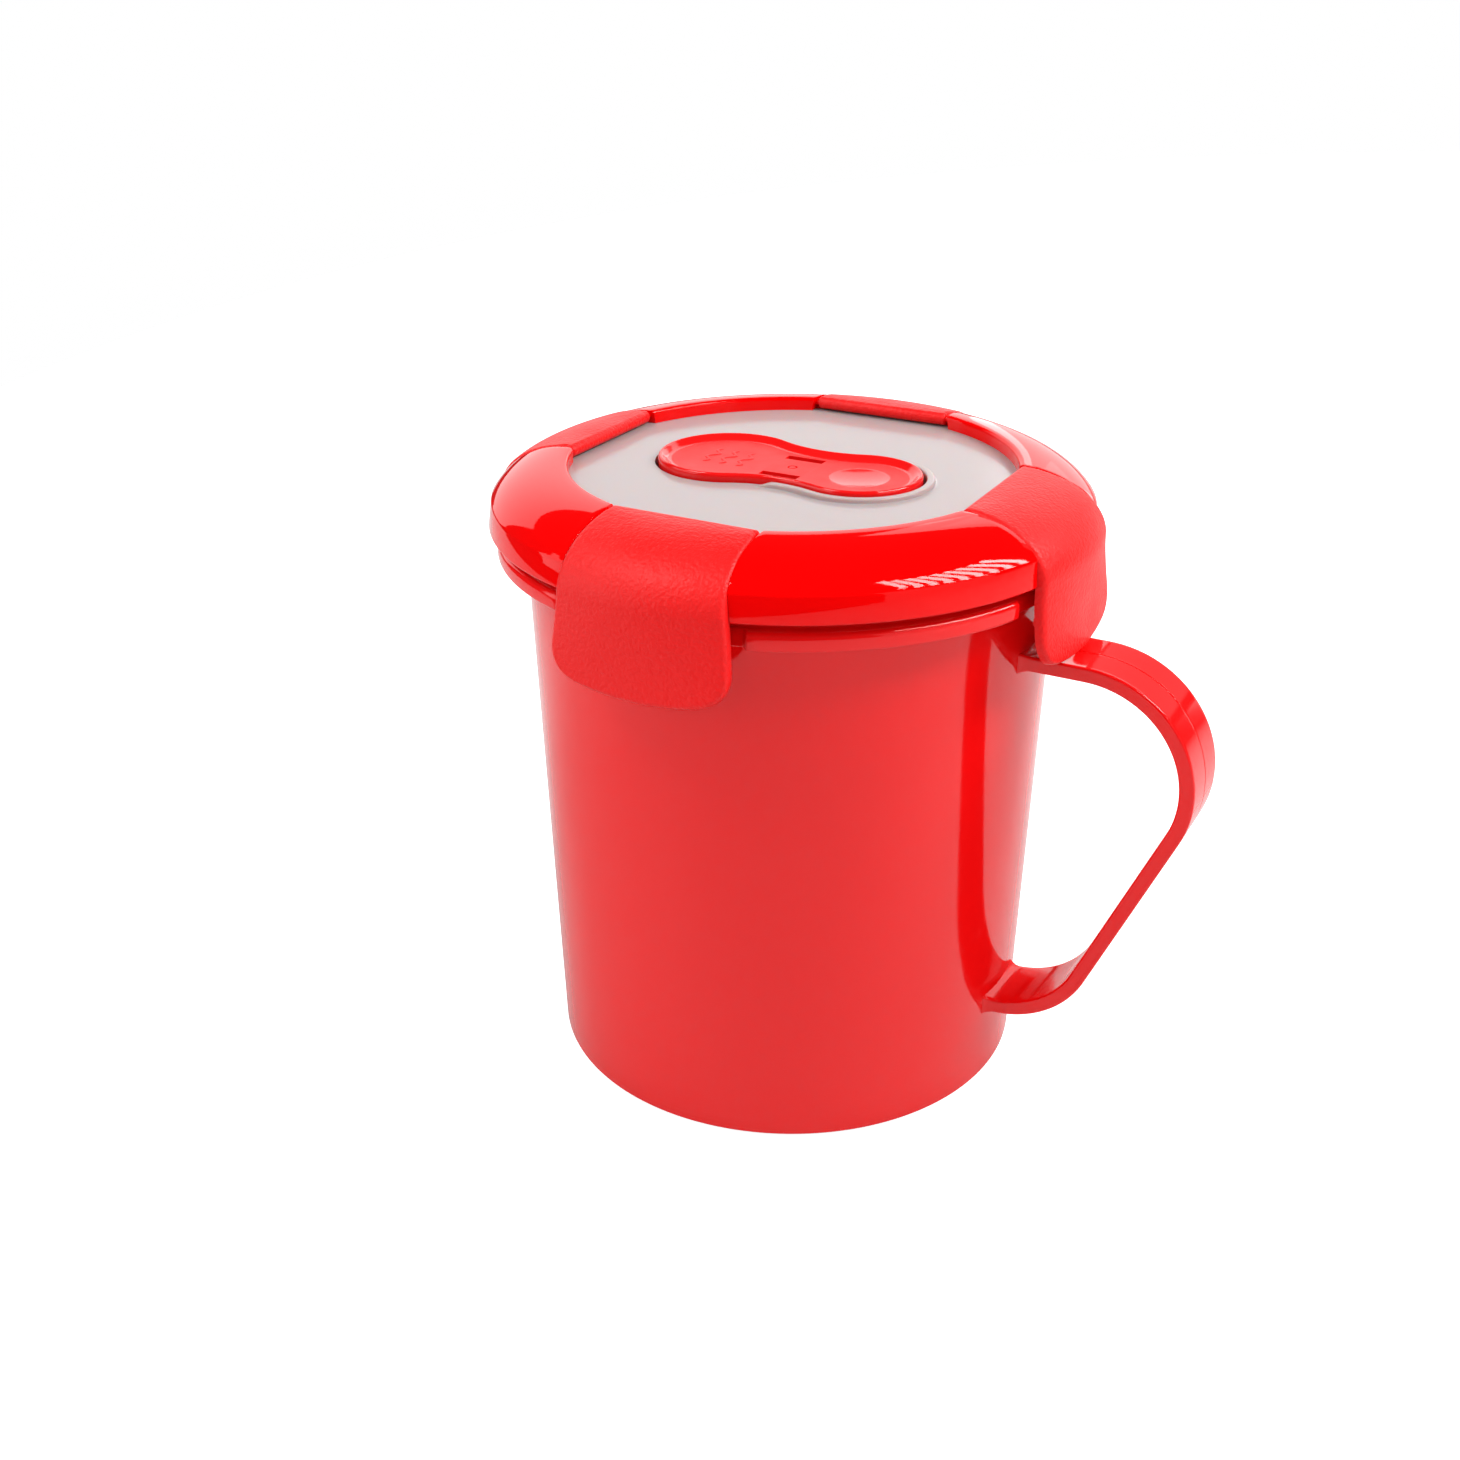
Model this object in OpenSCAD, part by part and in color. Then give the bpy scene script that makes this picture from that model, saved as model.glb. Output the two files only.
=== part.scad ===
/* [Mug body] */
// Outer radius of the mug at its base
base_r = 46.1; // [43:0.1:48.4]
// Outer radius of the body just under the rim flange
body_r = 49.2; // [47:0.1:54]
// Height of the flange's underside above the base
body_h = 102; // [92:1:130]
// Wall of the mug
mug_wall = 2.4; // [1.8:0.1:2.8]
// Thickness of the mug's floor
floor_t = 3; // [2.2:0.1:6]
// Rounding of the outer bottom corner
base_round = 2.2; // [1:0.1:4]
// Rounding of the inner bottom corner
bowl_round = 6; // [3:0.5:12]
// Width of the foot ring round the flat underside
foot_w = 3.2; // [2:0.1:6]
// Width of the shallow groove inside the foot ring
foot_groove_w = 2; // [1:0.1:4]
// Depth of the groove inside the foot ring
foot_groove_d = 0.6; // [0.3:0.1:1.2]

/* [Mouth and flange] */
// How far the mouth steps out from the body
rim_step = 2.6; // [2:0.1:3.4]
// Wall of the mouth
rim_wall = 2.2; // [1.8:0.1:2.6]
// How far the flange stands out from the mouth
flange_w = 2.7; // [2.2:0.1:3.4]
// Thickness of the flange
flange_t = 3.3; // [2.5:0.1:5]
// Height of the rim above the flange
rim_stand = 1.9; // [1.4:0.1:2.4]
// Depth of the notch in the flange behind each clip
notch_d = 1.6; // [1:0.1:2]
// Softening of the flange's and rim's edges
edge = 0.4; // [0.2:0.1:0.7]

/* [Handle] */
// Width of the handle's strap
handle_w = 14; // [10:0.5:22]
// Thickness of the handle's strap
handle_t = 2.8; // [2:0.1:4]
// Distance from the flange's underside down to the top of the handle
handle_drop = 11.2; // [11:0.1:16]
// Straight run of the top arm past the body
handle_arm = 10.8; // [6:0.1:20]
// Outer radius of the handle's upper bend
handle_bend_r = 21.2; // [14:0.1:24]
// Lean of the handle's long straight part
handle_lean = 23.5; // [15:0.5:28]
// Height of the handle's lowest face above the base
handle_foot = 15.9; // [8:0.1:22]
// Outer radius of the handle's lower bend
handle_foot_r = 20; // [10:0.5:22]

/* [Lid ring] */
// How far the lid's skirt stands out past the flange
skirt_over = 1.3; // [0.8:0.1:2]
// Gap between the flange and the lid's skirt
skirt_gap = 1.85; // [1.5:0.05:2.1]
// Height of the skirt's band
skirt_h = 4.85; // [3.5:0.05:6]
// How much narrower the band is at its top
skirt_lean = 0.7; // [0.2:0.1:1]
// Height of the domed crown above the band
crown_h = 6; // [5:0.1:7]
// Width of the domed crown, from the band to the window
crown_w = 14.1; // [13:0.1:15]
// Angle on the crown's curve where it meets the band
crown_edge_angle = 24; // [16:1:32]
// Depth of the window's edge, down to the clear panel
window_depth = 2.6; // [2.4:0.1:3]

/* [Clear panel] */
// Thickness of the clear panel
panel_t = 1.8; // [1.4:0.1:2]
// How far the panel reaches under the ring's lip
panel_lap = 1.9; // [1.2:0.1:2.4]
// Gap between the panel's plug and the mouth
plug_gap = 0.3; // [0.2:0.05:0.5]
// Wall of the plug
plug_wall = 1.7; // [1.2:0.1:2.2]
// Height of the plug below the panel's flange
plug_h = 4.6; // [3.6:0.1:4.8]
// Thickness of the panel's flange
panel_flange_t = 1.6; // [1.4:0.1:1.8]

/* [Seal] */
// Full height of the lid's seal
seal_h = 2.3; // [2:0.1:2.6]
// Depth of the seal's groove
seal_sunk = 0.8; // [0.5:0.1:1]

/* [Clips] */
// Half width of a clip at its hinge
clip_half = 13.8; // [11:0.1:15]
// Half width of a clip at its free end
flap_half = 16.8; // [15.5:0.1:18]
// Wall of a clip
clip_wall = 1.7; // [1.4:0.1:1.9]
// How far a closed clip stands out past the skirt
clip_proud = 1.4; // [1.2:0.1:2]
// How far a closed clip stands above the crown
clip_rise = 0.1; // [0:0.05:0.4]
// How far a clip reaches below the flange's underside
clip_drop = 10.5; // [9:0.1:10.5]
// Radius of a clip's lower corners
clip_corner_r = 5.5; // [3:0.5:7]
// How much lower the middle of a clip's end is than its corners
clip_end_bow = 1.2; // [0:0.1:2]
// How far the flap swings in and out along its height
flap_swing = 0.9; // [0.3:0.1:1.4]
// Height of the hook inside a clip
hook_h = 2.2; // [1.6:0.1:3]
// Radius of the hinge pins of the ring
pin_r = 0.65; // [0.5:0.05:0.75]
// Radius of a clip's hinge barrel
barrel_r = 1.2; // [1.1:0.05:1.3]

/* [Steam vent] */
// Radius of the rocker's valve end
valve_lobe_r = 13.3; // [11:0.1:14]
// Radius of the rocker's finger end
finger_lobe_r = 11.5; // [10:0.1:12.5]
// Distance from the middle to the centre of the valve end
valve_x = 13.2; // [12:0.1:15]
// Distance from the middle to the centre of the finger end
finger_x = 13.5; // [12:0.1:15]
// Radius of the hollow curve at the rocker's waist
waist_r = 21.6; // [16:0.1:30]
// Thickness of the rocker's plate
plate_t = 1.4; // [1:0.1:1.6]
// Height of the rocker's face above the clear panel
face_rise = 0.5; // [0.3:0.1:0.8]
// Height of the rocker's lip above its face
lip_h = 1; // [0.6:0.1:1.4]
// Width of the rocker's lip
lip_w = 1.5; // [1:0.1:2]
// Depth of the rocker's well under its finger end
well_d = 6.4; // [6.2:0.1:7.4]
// Depth of the valve's seat below the panel
seat_d = 3; // [2.8:0.1:3.4]
// Radius of the steam hole
steam_r = 2.5; // [1.5:0.1:3]
// Radius of the rocker's axle
axle_r = 1.2; // [1:0.05:1.4]
// Diameter of the finger dimple
dimple_w = 11; // [8:0.5:13]

/* [Hidden] */
$fn = 96;
cut = 1;
arc_steps = 16;
lobe_steps = 40;

// Radial clearance of a pin in its bore
running_fit = 0.05;
// Gap between a closed clip and the ring under it
clip_gap = 0.3;
// Gap at each side of a clip
clip_side_gap = 0.7;
// Gap between a hook and the flange
hook_gap = 0.3;
// Plan clearance between a hook's tip and the notch
hook_clear = 0.15;
// Floor of the ring under a clip
ring_floor = 1;
// Gap between the rocker and its well
vent_gap = 0.6;
// Wall of the well and of the collar round it
well_wall = 1.6;
collar_wall = 1;
collar_h = 0.8;
// Room under the foot of the panel's plug
plug_foot_gap = 1.1;
// Height of the slope inside the mouth
mouth_step_h = 2.2;
// How far the panel's flange reaches past the rim
panel_flange_over = 0.9;
// Height of the panel's straight neck above its flange
neck_h = 1;
// Bead of the ring's skirt that the panel's flange snaps over
bead_bite = 0.5;
bead_gap = 0.1;
bead_h = 0.5;
// How far the hook's sides stay inside the clip's sides
hook_inset = 1.3;

// Heights, from the base up
flange_z = body_h;
flange_top = flange_z + flange_t;
rim_top = flange_top + rim_stand;
skirt_z = flange_top + skirt_gap;
crown_z = skirt_z + skirt_h;
lid_top = crown_z + crown_h;
panel_z = lid_top - window_depth;
panel_flange_z = rim_top + seal_h - seal_sunk;
handle_top = body_h - handle_drop;

// Radii, from the mouth out and in
rim_r = body_r + rim_step;
mouth_r = rim_r - rim_wall;
flange_r = rim_r + flange_w;
notch_r = flange_r - notch_d;
skirt_r = flange_r + skirt_over;
crown_r = skirt_r - skirt_lean;
window_r = crown_r - crown_w;
plug_r = mouth_r - plug_gap;
panel_r = window_r + panel_lap;

// Top of the slope inside the mouth, which leaves room for the plug
mouth_step_top = panel_flange_z - plug_h - plug_foot_gap;

// The crown is part of an ellipse round this centre
crown_a = crown_w / cos(crown_edge_angle);
crown_b = crown_h / (1 - sin(crown_edge_angle));
crown_cz = lid_top - crown_b;

// A clip's outer face is a quarter of an ellipse and then a flap
clip_top = lid_top + clip_rise;
clip_cz = skirt_z + clip_gap;
clip_a = skirt_r + clip_proud - window_r;
clip_b = clip_top - clip_cz;
clip_end = flange_z - clip_drop;
clip_corner_z = clip_end + clip_end_bow + clip_corner_r;
side_lean = atan((flap_half - clip_half) / (clip_top - clip_corner_z));
hook_tip = notch_r + hook_clear;
hook_half = flap_half - hook_inset;
hook_top = flange_z - hook_gap;
// Height share of the flap and its swing share, from the skirt down
flap_shares = [[0, 0], [0.28, -0.1], [0.53, -0.4], [0.72, -0.4], [0.87, 0.1], [1, 0.8]];

// The hinge lies along the chord that a clip cuts off the window
chord_x = sqrt(window_r * window_r - clip_half * clip_half);
hinge_x = chord_x + barrel_r;
hinge_z = clip_top - barrel_r;
pocket_x = hinge_x + barrel_r + clip_wall + clip_gap;
// How far each pin's end is buried in the ring
pin_bite = 2;
pocket_half = clip_half + clip_side_gap + barrel_r * tan(side_lean);

// Places of the four clips round the lid
handle_side = 0;
back_side = 90;
far_side = 180;
front_side = -90;

// The rocker and its well
face_z = panel_z + face_rise;
plate_z = face_z - plate_t;
// Depth of the axle below the rocker's face
axle_drop = 3.3;
axle_z = face_z - axle_drop;
// How far the lip hangs below the plate
lip_under = 0.6;
lip_bottom = plate_z - lip_under;
well_z = panel_z - well_d;
seat_z = panel_z - seat_d;
// Where the deep end of the well begins
deep_x = -6;
// The steam hole is in the middle of the valve end
steam_x = -valve_x;
// The two ears that hold the rocker's axle
ear_y = 5.3;
ear_t = 1.4;
ear_half = 3.2;
ear_gap = 0.5;
ear_top = plate_z - ear_gap;
// The mouth of an ear's bore, as a share of the axle's diameter
ear_mouth_share = 0.8;
// Slots in the rocker's plate over the ears
slot_half = 3.8;
slot_w = 2;
// Webs between the plate and the axle
web_gap = 0.4;
web_w = 2;
web_t = 1;
dimple_d = 0.6;
// The stud under the plate that holds the vent seal
stud_r = 1.2;
stud_h = 1.2;
valve_seal_r = 4.2;
valve_neck_r = 3.2;
valve_lip_h = 0.8;
// The moulding mark in the middle of the rocker
gate_r = 0.7;
gate_d = 0.3;

function arc(cx, cz, r, from, to, steps = arc_steps) =
    [for (i = [0:steps]) let (t = from + (to - from) * i / steps) [cx + r * cos(t), cz + r * sin(t)]];

// The same arc without its two end points
function inner_arc(cx, cz, r, from, to, steps = arc_steps) =
    let (all = arc(cx, cz, r, from, to, steps)) [for (i = [1:steps - 1]) all[i]];

function oval(cx, cz, a, b, from, to, steps = arc_steps) =
    [for (i = [0:steps]) let (t = from + (to - from) * i / steps) [cx + a * cos(t), cz + b * sin(t)]];

// Outer radius of the body at a height
function body_at(z) = base_r + (body_r - base_r) * z / body_h;

// Outline of the strap's outer side for inset 0, and of its inner side for the strap's thickness
function handle_outline(inset, root_depth) =
    let (
        cx = body_r + handle_arm,
        cz = handle_top - handle_bend_r,
        r = handle_bend_r,
        fr = handle_foot_r,
        fz = handle_foot + fr,
        fx = (cos(handle_lean) * cx - sin(handle_lean) * (cz - fz) + r - fr) / cos(handle_lean)
    )
    concat(
        [[body_at(handle_top) - root_depth, handle_top - inset]],
        arc(cx, cz, r - inset, 90, -handle_lean),
        arc(fx, fz, fr - inset, -handle_lean, -90),
        [[body_at(handle_foot) - root_depth, handle_foot + inset]]
    );

module handle() {
    // The strap's ends are buried in the wall of the body
    root_depth = mug_wall / 2;
    difference() {
        rotate([90, 0, 0])
            linear_extrude(handle_w, center = true)
                difference() {
                    polygon(handle_outline(0, root_depth));
                    polygon(handle_outline(handle_t, root_depth + cut));
                }
        mug_inside();
    }
}

// The space inside the mug, up to above the mouth
module mug_inside() {
    inner_base_r = body_at(floor_t) - mug_wall;
    inner_top_r = body_at(mouth_step_top - mouth_step_h) - mug_wall;
    rotate_extrude()
        polygon(concat(
            [[0, rim_top + cut], [mouth_r + edge, rim_top + cut], [mouth_r + edge, rim_top]],
            [[mouth_r, rim_top - edge], [mouth_r, mouth_step_top]],
            [[inner_top_r, mouth_step_top - mouth_step_h]],
            arc(inner_base_r - bowl_round, floor_t + bowl_round, bowl_round, 0, -90, 6),
            [[0, floor_t]]
        ));
}

module mug() {
    color("red") {
        difference() {
            rotate_extrude()
                polygon(concat(
                    [[0, 0]],
                    arc(base_r - base_round, base_round, base_round, -90, 0, 6),
                    [
                        [body_r, body_h],
                        [flange_r - edge, flange_z],
                        [flange_r, flange_z + edge],
                        [flange_r, flange_top - edge],
                        [flange_r - edge, flange_top],
                        [rim_r, flange_top],
                        [rim_r, rim_top - edge],
                        [rim_r - edge, rim_top],
                        [0, rim_top]
                    ]
                ));
            mug_inside();
            foot_groove();
            for (place = [handle_side, back_side, far_side, front_side])
                rotate([0, 0, place])
                    flange_notch();
        }
        handle();
    }
}

// Shallow groove in the underside that sets off the foot ring
module foot_groove() {
    groove_out = base_r - base_round - foot_w;
    rotate_extrude()
        translate([groove_out - foot_groove_w, -cut])
            square([foot_groove_w, foot_groove_d + cut]);
}

// Room for a clip's hook: the flange steps back to the notch's radius
module flange_notch() {
    notch_half = flap_half + edge;
    intersection() {
        rotate_extrude()
            polygon([
                [notch_r, flange_z - cut],
                [flange_r + cut, flange_z - cut],
                [flange_r + cut, flange_top + cut],
                [notch_r, flange_top + cut]
            ]);
        translate([0, -notch_half, flange_z - cut])
            cube([flange_r + cut, 2 * notch_half, flange_t + 2 * cut]);
    }
}

// Front view of a clip, grown at its sides for the recess that holds it
module clip_face(grow = 0) {
    end_half = flap_half - clip_corner_r;
    end_turn = atan(2 * clip_end_bow / end_half) - 90;
    corner = arc(end_half, clip_corner_z, clip_corner_r, side_lean, end_turn, 8);
    end = [for (i = [1:7]) let (s = 1 - i / 4) [s * end_half, clip_end + clip_end_bow * s * s]];
    right = [for (q = corner) [q[0] + grow, q[1] - grow]];
    left = [for (i = [len(corner) - 1:-1:0]) [-corner[i][0] - grow, corner[i][1] - grow]];
    top_z = clip_top + cut;
    top_half = clip_half - cut * tan(side_lean) + grow;
    polygon(concat([[top_half, top_z]], right, [for (q = end) [q[0], q[1] - grow]], left,
        [[-top_half, top_z]]));
}

// A clip's front view drawn out along +X, from one distance to another
module clip_block(from_x, to_x, grow = 0) {
    translate([from_x, 0, 0])
        rotate([90, 0, 90])
            linear_extrude(to_x - from_x)
                clip_face(grow);
}

function flap_side(inset) =
    [for (q = flap_shares)
        [window_r + clip_a - inset + q[1] * flap_swing, clip_cz + (clip_end - cut - clip_cz) * q[0]]];

module clip() {
    color("tomato")
        difference() {
            union() {
                intersection() {
                    rotate_extrude()
                        polygon(concat(
                            [[chord_x, clip_top]],
                            oval(window_r, clip_cz, clip_a, clip_b, 90, 0),
                            flap_side(0),
                            [for (i = [len(flap_shares) - 1:-1:0]) flap_side(clip_wall)[i]],
                            oval(window_r, clip_cz, clip_a - clip_wall, clip_b - clip_wall, 0, 90),
                            [[chord_x, clip_top - clip_wall]]
                        ));
                    clip_block(hinge_x, flange_r + 4 * clip_wall);
                }
                hook();
                translate([hinge_x, 0, hinge_z])
                    rotate([90, 0, 0])
                        cylinder(r = barrel_r, h = 2 * clip_half, center = true);
            }
            translate([hinge_x, 0, hinge_z])
                rotate([90, 0, 0])
                    cylinder(r = pin_r + running_fit, h = 2 * clip_half + 4 * cut, center = true);
        }
}

// The straight rib inside the flap that sits under the flange's notch
module hook() {
    back_r = window_r + clip_a - clip_wall / 2;
    intersection() {
        rotate([90, 0, 0])
            linear_extrude(2 * hook_half, center = true)
                polygon([
                    [hook_tip, hook_top],
                    [back_r, hook_top],
                    [back_r, hook_top - hook_h - notch_d],
                    [back_r - clip_wall, hook_top - hook_h],
                    [hook_tip, hook_top - hook_h / 2]
                ]);
        translate([0, 0, clip_end])
            cylinder(r = back_r, h = flange_z - clip_end);
    }
}

module lid_ring() {
    floor_a = clip_a - clip_wall - clip_gap;
    floor_b = clip_b - clip_wall - clip_gap;
    inner_a = floor_a - ring_floor;
    inner_b = floor_b - ring_floor;
    lip_r = panel_r + clip_gap;
    lip_turn = acos((lip_r - window_r) / inner_a);
    bead_r = rim_r + panel_flange_over - bead_bite;
    bead_z = panel_flange_z - bead_gap;
    bead_turn = asin((bead_z - clip_cz) / inner_b);
    color("crimson") {
        difference() {
            rotate_extrude()
                polygon(concat(
                    [[window_r, panel_z], [window_r, lid_top - edge], [window_r + edge, lid_top]],
                    oval(window_r, crown_cz, crown_a, crown_b, 84, crown_edge_angle),
                    [
                        [skirt_r, skirt_z + edge],
                        [skirt_r - edge, skirt_z],
                        [window_r + inner_a, skirt_z],
                        [bead_r, bead_z - bead_h],
                        [bead_r, bead_z]
                    ],
                    oval(window_r, clip_cz, inner_a, inner_b, bead_turn, lip_turn),
                    [[lip_r, panel_z]]
                ));
            for (place = [handle_side, back_side, far_side, front_side])
                rotate([0, 0, place])
                    clip_recess(floor_a, floor_b);
        }
        for (place = [handle_side, back_side, far_side, front_side])
            rotate([0, 0, place])
                translate([hinge_x, 0, hinge_z])
                    rotate([90, 0, 0])
                        cylinder(r = pin_r, h = 2 * (pocket_half + pin_bite), center = true);
    }
}

// The recess that a clip lies in, with the open pocket round its hinge
module clip_recess(floor_a, floor_b) {
    intersection() {
        rotate_extrude()
            polygon(concat(
                [[0, clip_top + cut], [skirt_r + 2 * cut, clip_top + cut]],
                [[skirt_r + 2 * cut, skirt_z - cut], [window_r + floor_a, skirt_z - cut]],
                oval(window_r, clip_cz, floor_a, floor_b, 0, 90),
                [[0, clip_cz + floor_b]]
            ));
        clip_block(chord_x - 2 * cut, skirt_r + 2 * cut, clip_side_gap);
    }
    translate([0, -pocket_half, panel_z - cut])
        cube([pocket_x, 2 * pocket_half, window_depth + 2 * cut]);
}

// Plan of the rocker: two round lobes that run smoothly into hollow curves at the waist
function vent_points(grow) =
    let (
        span = valve_x + finger_x,
        a = valve_lobe_r + waist_r,
        b = finger_lobe_r + waist_r,
        along = (span * span + a * a - b * b) / (2 * span),
        up = sqrt(a * a - along * along),
        waist_x = along - valve_x,
        valve_turn = atan2(up, along),
        finger_turn = atan2(up, along - span)
    )
    concat(
        arc(finger_x, 0, finger_lobe_r + grow, -finger_turn, finger_turn, lobe_steps),
        inner_arc(waist_x, up, waist_r - grow, finger_turn - 180, valve_turn - 180),
        arc(-valve_x, 0, valve_lobe_r + grow, valve_turn, 360 - valve_turn, lobe_steps),
        inner_arc(waist_x, -up, waist_r - grow, 180 - valve_turn, 180 - finger_turn)
    );

module vent_outline(grow = 0) {
    polygon(vent_points(grow));
}

module lid_panel() {
    ear_bore = axle_r + running_fit;
    flange_out = rim_r + panel_flange_over;
    under_z = panel_z - panel_t;
    plug_in = plug_r - plug_wall;
    shoulder_z = panel_flange_z + panel_flange_t + neck_h;
    ear_mouth = 2 * axle_r * ear_mouth_share;
    color("mistyrose", 0.8)
        union() {
            difference() {
                union() {
                    rotate_extrude()
                        polygon([
                            [0, panel_z],
                            [panel_r, panel_z],
                            [panel_r, shoulder_z + 2 * panel_t / 3],
                            [plug_r - panel_t, shoulder_z + panel_t / 2],
                            [plug_r, shoulder_z],
                            [plug_r, panel_flange_z + panel_flange_t],
                            [flange_out, panel_flange_z + panel_flange_t],
                            [flange_out, panel_flange_z],
                            [rim_r, panel_flange_z],
                            [rim_r, panel_flange_z + seal_sunk],
                            [mouth_r + plug_gap / 2, panel_flange_z + seal_sunk],
                            [mouth_r + plug_gap / 2, panel_flange_z],
                            [plug_r, panel_flange_z],
                            [plug_r, panel_flange_z - plug_h],
                            [plug_in, panel_flange_z - plug_h],
                            [plug_in, shoulder_z - panel_t / 2],
                            [panel_r - panel_t, shoulder_z - panel_t / 2],
                            [panel_r - panel_t, under_z],
                            [0, under_z]
                        ]);
                    translate([0, 0, well_z - well_wall])
                        linear_extrude(panel_z - well_z + well_wall)
                            intersection() {
                                vent_outline(vent_gap + well_wall);
                                translate([deep_x - well_wall, -valve_lobe_r * 2])
                                    square([valve_x * 4, valve_lobe_r * 4]);
                            }
                    translate([0, 0, seat_z - well_wall])
                        linear_extrude(panel_z - seat_z + well_wall)
                            vent_outline(vent_gap + well_wall);
                    collar();
                }
                translate([0, 0, seat_z])
                    linear_extrude(window_depth + seat_d)
                        vent_outline(vent_gap);
                translate([0, 0, well_z])
                    linear_extrude(window_depth + well_d)
                        intersection() {
                            vent_outline(vent_gap);
                            translate([deep_x, -valve_lobe_r * 2])
                                square([valve_x * 4, valve_lobe_r * 4]);
                        }
                translate([steam_x, 0, seat_z - well_wall - cut])
                    cylinder(r = steam_r, h = well_wall + 2 * cut);
            }
            for (side = [-1, 1])
                difference() {
                    translate([-ear_half, side * ear_y - ear_t / 2, well_z - cut])
                        cube([2 * ear_half, ear_t, ear_top - well_z + cut]);
                    translate([0, side * ear_y, axle_z])
                        rotate([90, 0, 0])
                            cylinder(r = ear_bore, h = ear_t + 2 * cut, center = true);
                    translate([-ear_mouth / 2, side * ear_y - ear_t, axle_z])
                        cube([ear_mouth, 2 * ear_t, ear_top]);
                }
        }
}

// Low wall on the panel round the rocker's finger end
module collar() {
    translate([0, 0, panel_z])
        linear_extrude(collar_h)
            intersection() {
                vent_outline(vent_gap + collar_wall);
                translate([0, -valve_lobe_r * 2])
                    square([valve_x * 4, valve_lobe_r * 4]);
            }
}

module lid_seal() {
    color("white")
        rotate_extrude()
            polygon([
                [mouth_r + plug_gap / 2, rim_top],
                [rim_r, rim_top],
                [rim_r, rim_top + seal_h],
                [mouth_r + plug_gap / 2, rim_top + seal_h]
            ]);
}

module vent_rocker() {
    dimple_ball_r = (dimple_w * dimple_w / 4 + dimple_d * dimple_d) / (2 * dimple_d);
    color("orangered")
        difference() {
            union() {
                translate([0, 0, plate_z])
                    linear_extrude(plate_t)
                        vent_outline();
                translate([0, 0, lip_bottom])
                    linear_extrude(face_z + lip_h - lip_bottom)
                        difference() {
                            vent_outline();
                            vent_outline(-lip_w);
                        }
                axle();
                translate([steam_x, 0, plate_z - stud_h])
                    cylinder(r = stud_r, h = stud_h + plate_t / 2);
            }
            for (side = [-1, 1])
                translate([-slot_half, side * ear_y - slot_w / 2, plate_z - cut])
                    cube([2 * slot_half, slot_w, plate_t + 2 * cut]);
            translate([0, 0, face_z - gate_d])
                cylinder(r = gate_r, h = gate_d + cut);
            translate([finger_x, 0, face_z - dimple_d + dimple_ball_r])
                sphere(r = dimple_ball_r);
        }
}

// The rocker's axle, hung under the plate on a middle web and two outer webs
module axle() {
    inner_y = ear_y - ear_t / 2 - web_gap;
    outer_y = ear_y + ear_t / 2 + web_gap;
    web_h = plate_z - axle_z + plate_t / 2;
    translate([0, 0, axle_z])
        rotate([90, 0, 0])
            cylinder(r = axle_r, h = 2 * (outer_y + web_t), center = true);
    translate([-web_w / 2, -inner_y, axle_z])
        cube([web_w, 2 * inner_y, web_h]);
    for (side = [0, 1])
        mirror([0, side, 0])
            translate([-web_w / 2, outer_y, axle_z])
                cube([web_w, web_t, web_h]);
}

module vent_seal() {
    color("white")
        difference() {
            translate([steam_x, 0, 0])
                rotate_extrude()
                    polygon([
                        [0, seat_z],
                        [valve_seal_r, seat_z],
                        [valve_seal_r - valve_lip_h / 4, seat_z + valve_lip_h],
                        [valve_neck_r, seat_z + valve_lip_h],
                        [valve_neck_r, plate_z],
                        [0, plate_z]
                    ]);
            translate([steam_x, 0, plate_z - stud_h - running_fit])
                cylinder(r = stud_r + running_fit, h = stud_h + cut);
        }
}

module clip_handle_side() {
    rotate([0, 0, handle_side])
        clip();
}

module clip_back() {
    rotate([0, 0, back_side])
        clip();
}

module clip_far_side() {
    rotate([0, 0, far_side])
        clip();
}

module clip_front() {
    rotate([0, 0, front_side])
        clip();
}

mug();
lid_ring();
lid_panel();
lid_seal();
clip_handle_side();
clip_back();
clip_far_side();
clip_front();
vent_rocker();
vent_seal();
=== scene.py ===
# %% [markdown]
# # A soup mug with a clip lid
# The real object is ten pieces of plastic: a mug with a strap handle, a domed lid ring, a clear
# panel in the ring, four clips on hinge pins, a rocking steam vent and two soft seals. The packed
# frame holds their true sizes. This lesson rebuilds each visible piece as a smooth mesh on that
# frame, because light runs along a moulded surface, and gives each plastic its own finish.

# %% Load the frame
import math

import bmesh
import bpy
from mathutils import Matrix, Vector


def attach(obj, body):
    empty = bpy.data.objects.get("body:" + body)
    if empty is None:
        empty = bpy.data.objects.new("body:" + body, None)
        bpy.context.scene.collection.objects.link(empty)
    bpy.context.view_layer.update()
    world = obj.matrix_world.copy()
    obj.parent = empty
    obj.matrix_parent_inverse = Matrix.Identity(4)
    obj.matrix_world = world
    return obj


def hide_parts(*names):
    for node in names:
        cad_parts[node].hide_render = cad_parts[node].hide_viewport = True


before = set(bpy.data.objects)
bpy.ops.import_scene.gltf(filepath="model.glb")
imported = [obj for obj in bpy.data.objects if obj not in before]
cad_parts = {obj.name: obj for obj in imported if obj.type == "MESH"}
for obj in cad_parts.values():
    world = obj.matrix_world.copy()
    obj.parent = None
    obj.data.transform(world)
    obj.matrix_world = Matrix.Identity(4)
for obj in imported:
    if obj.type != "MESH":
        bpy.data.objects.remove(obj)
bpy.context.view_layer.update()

MM = 0.001
MERGE_M = 1e-7
QUARTER = math.pi / 2

# %% [markdown]
# ## Where the camera stands
# The camera was worked out from the photograph's circles: the rim, the base and the window of the
# lid all have to fall where the picture has them. A camera in Blender looks along its own -Z, so
# its matrix is built from the directions to the right, up and backwards.

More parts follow.
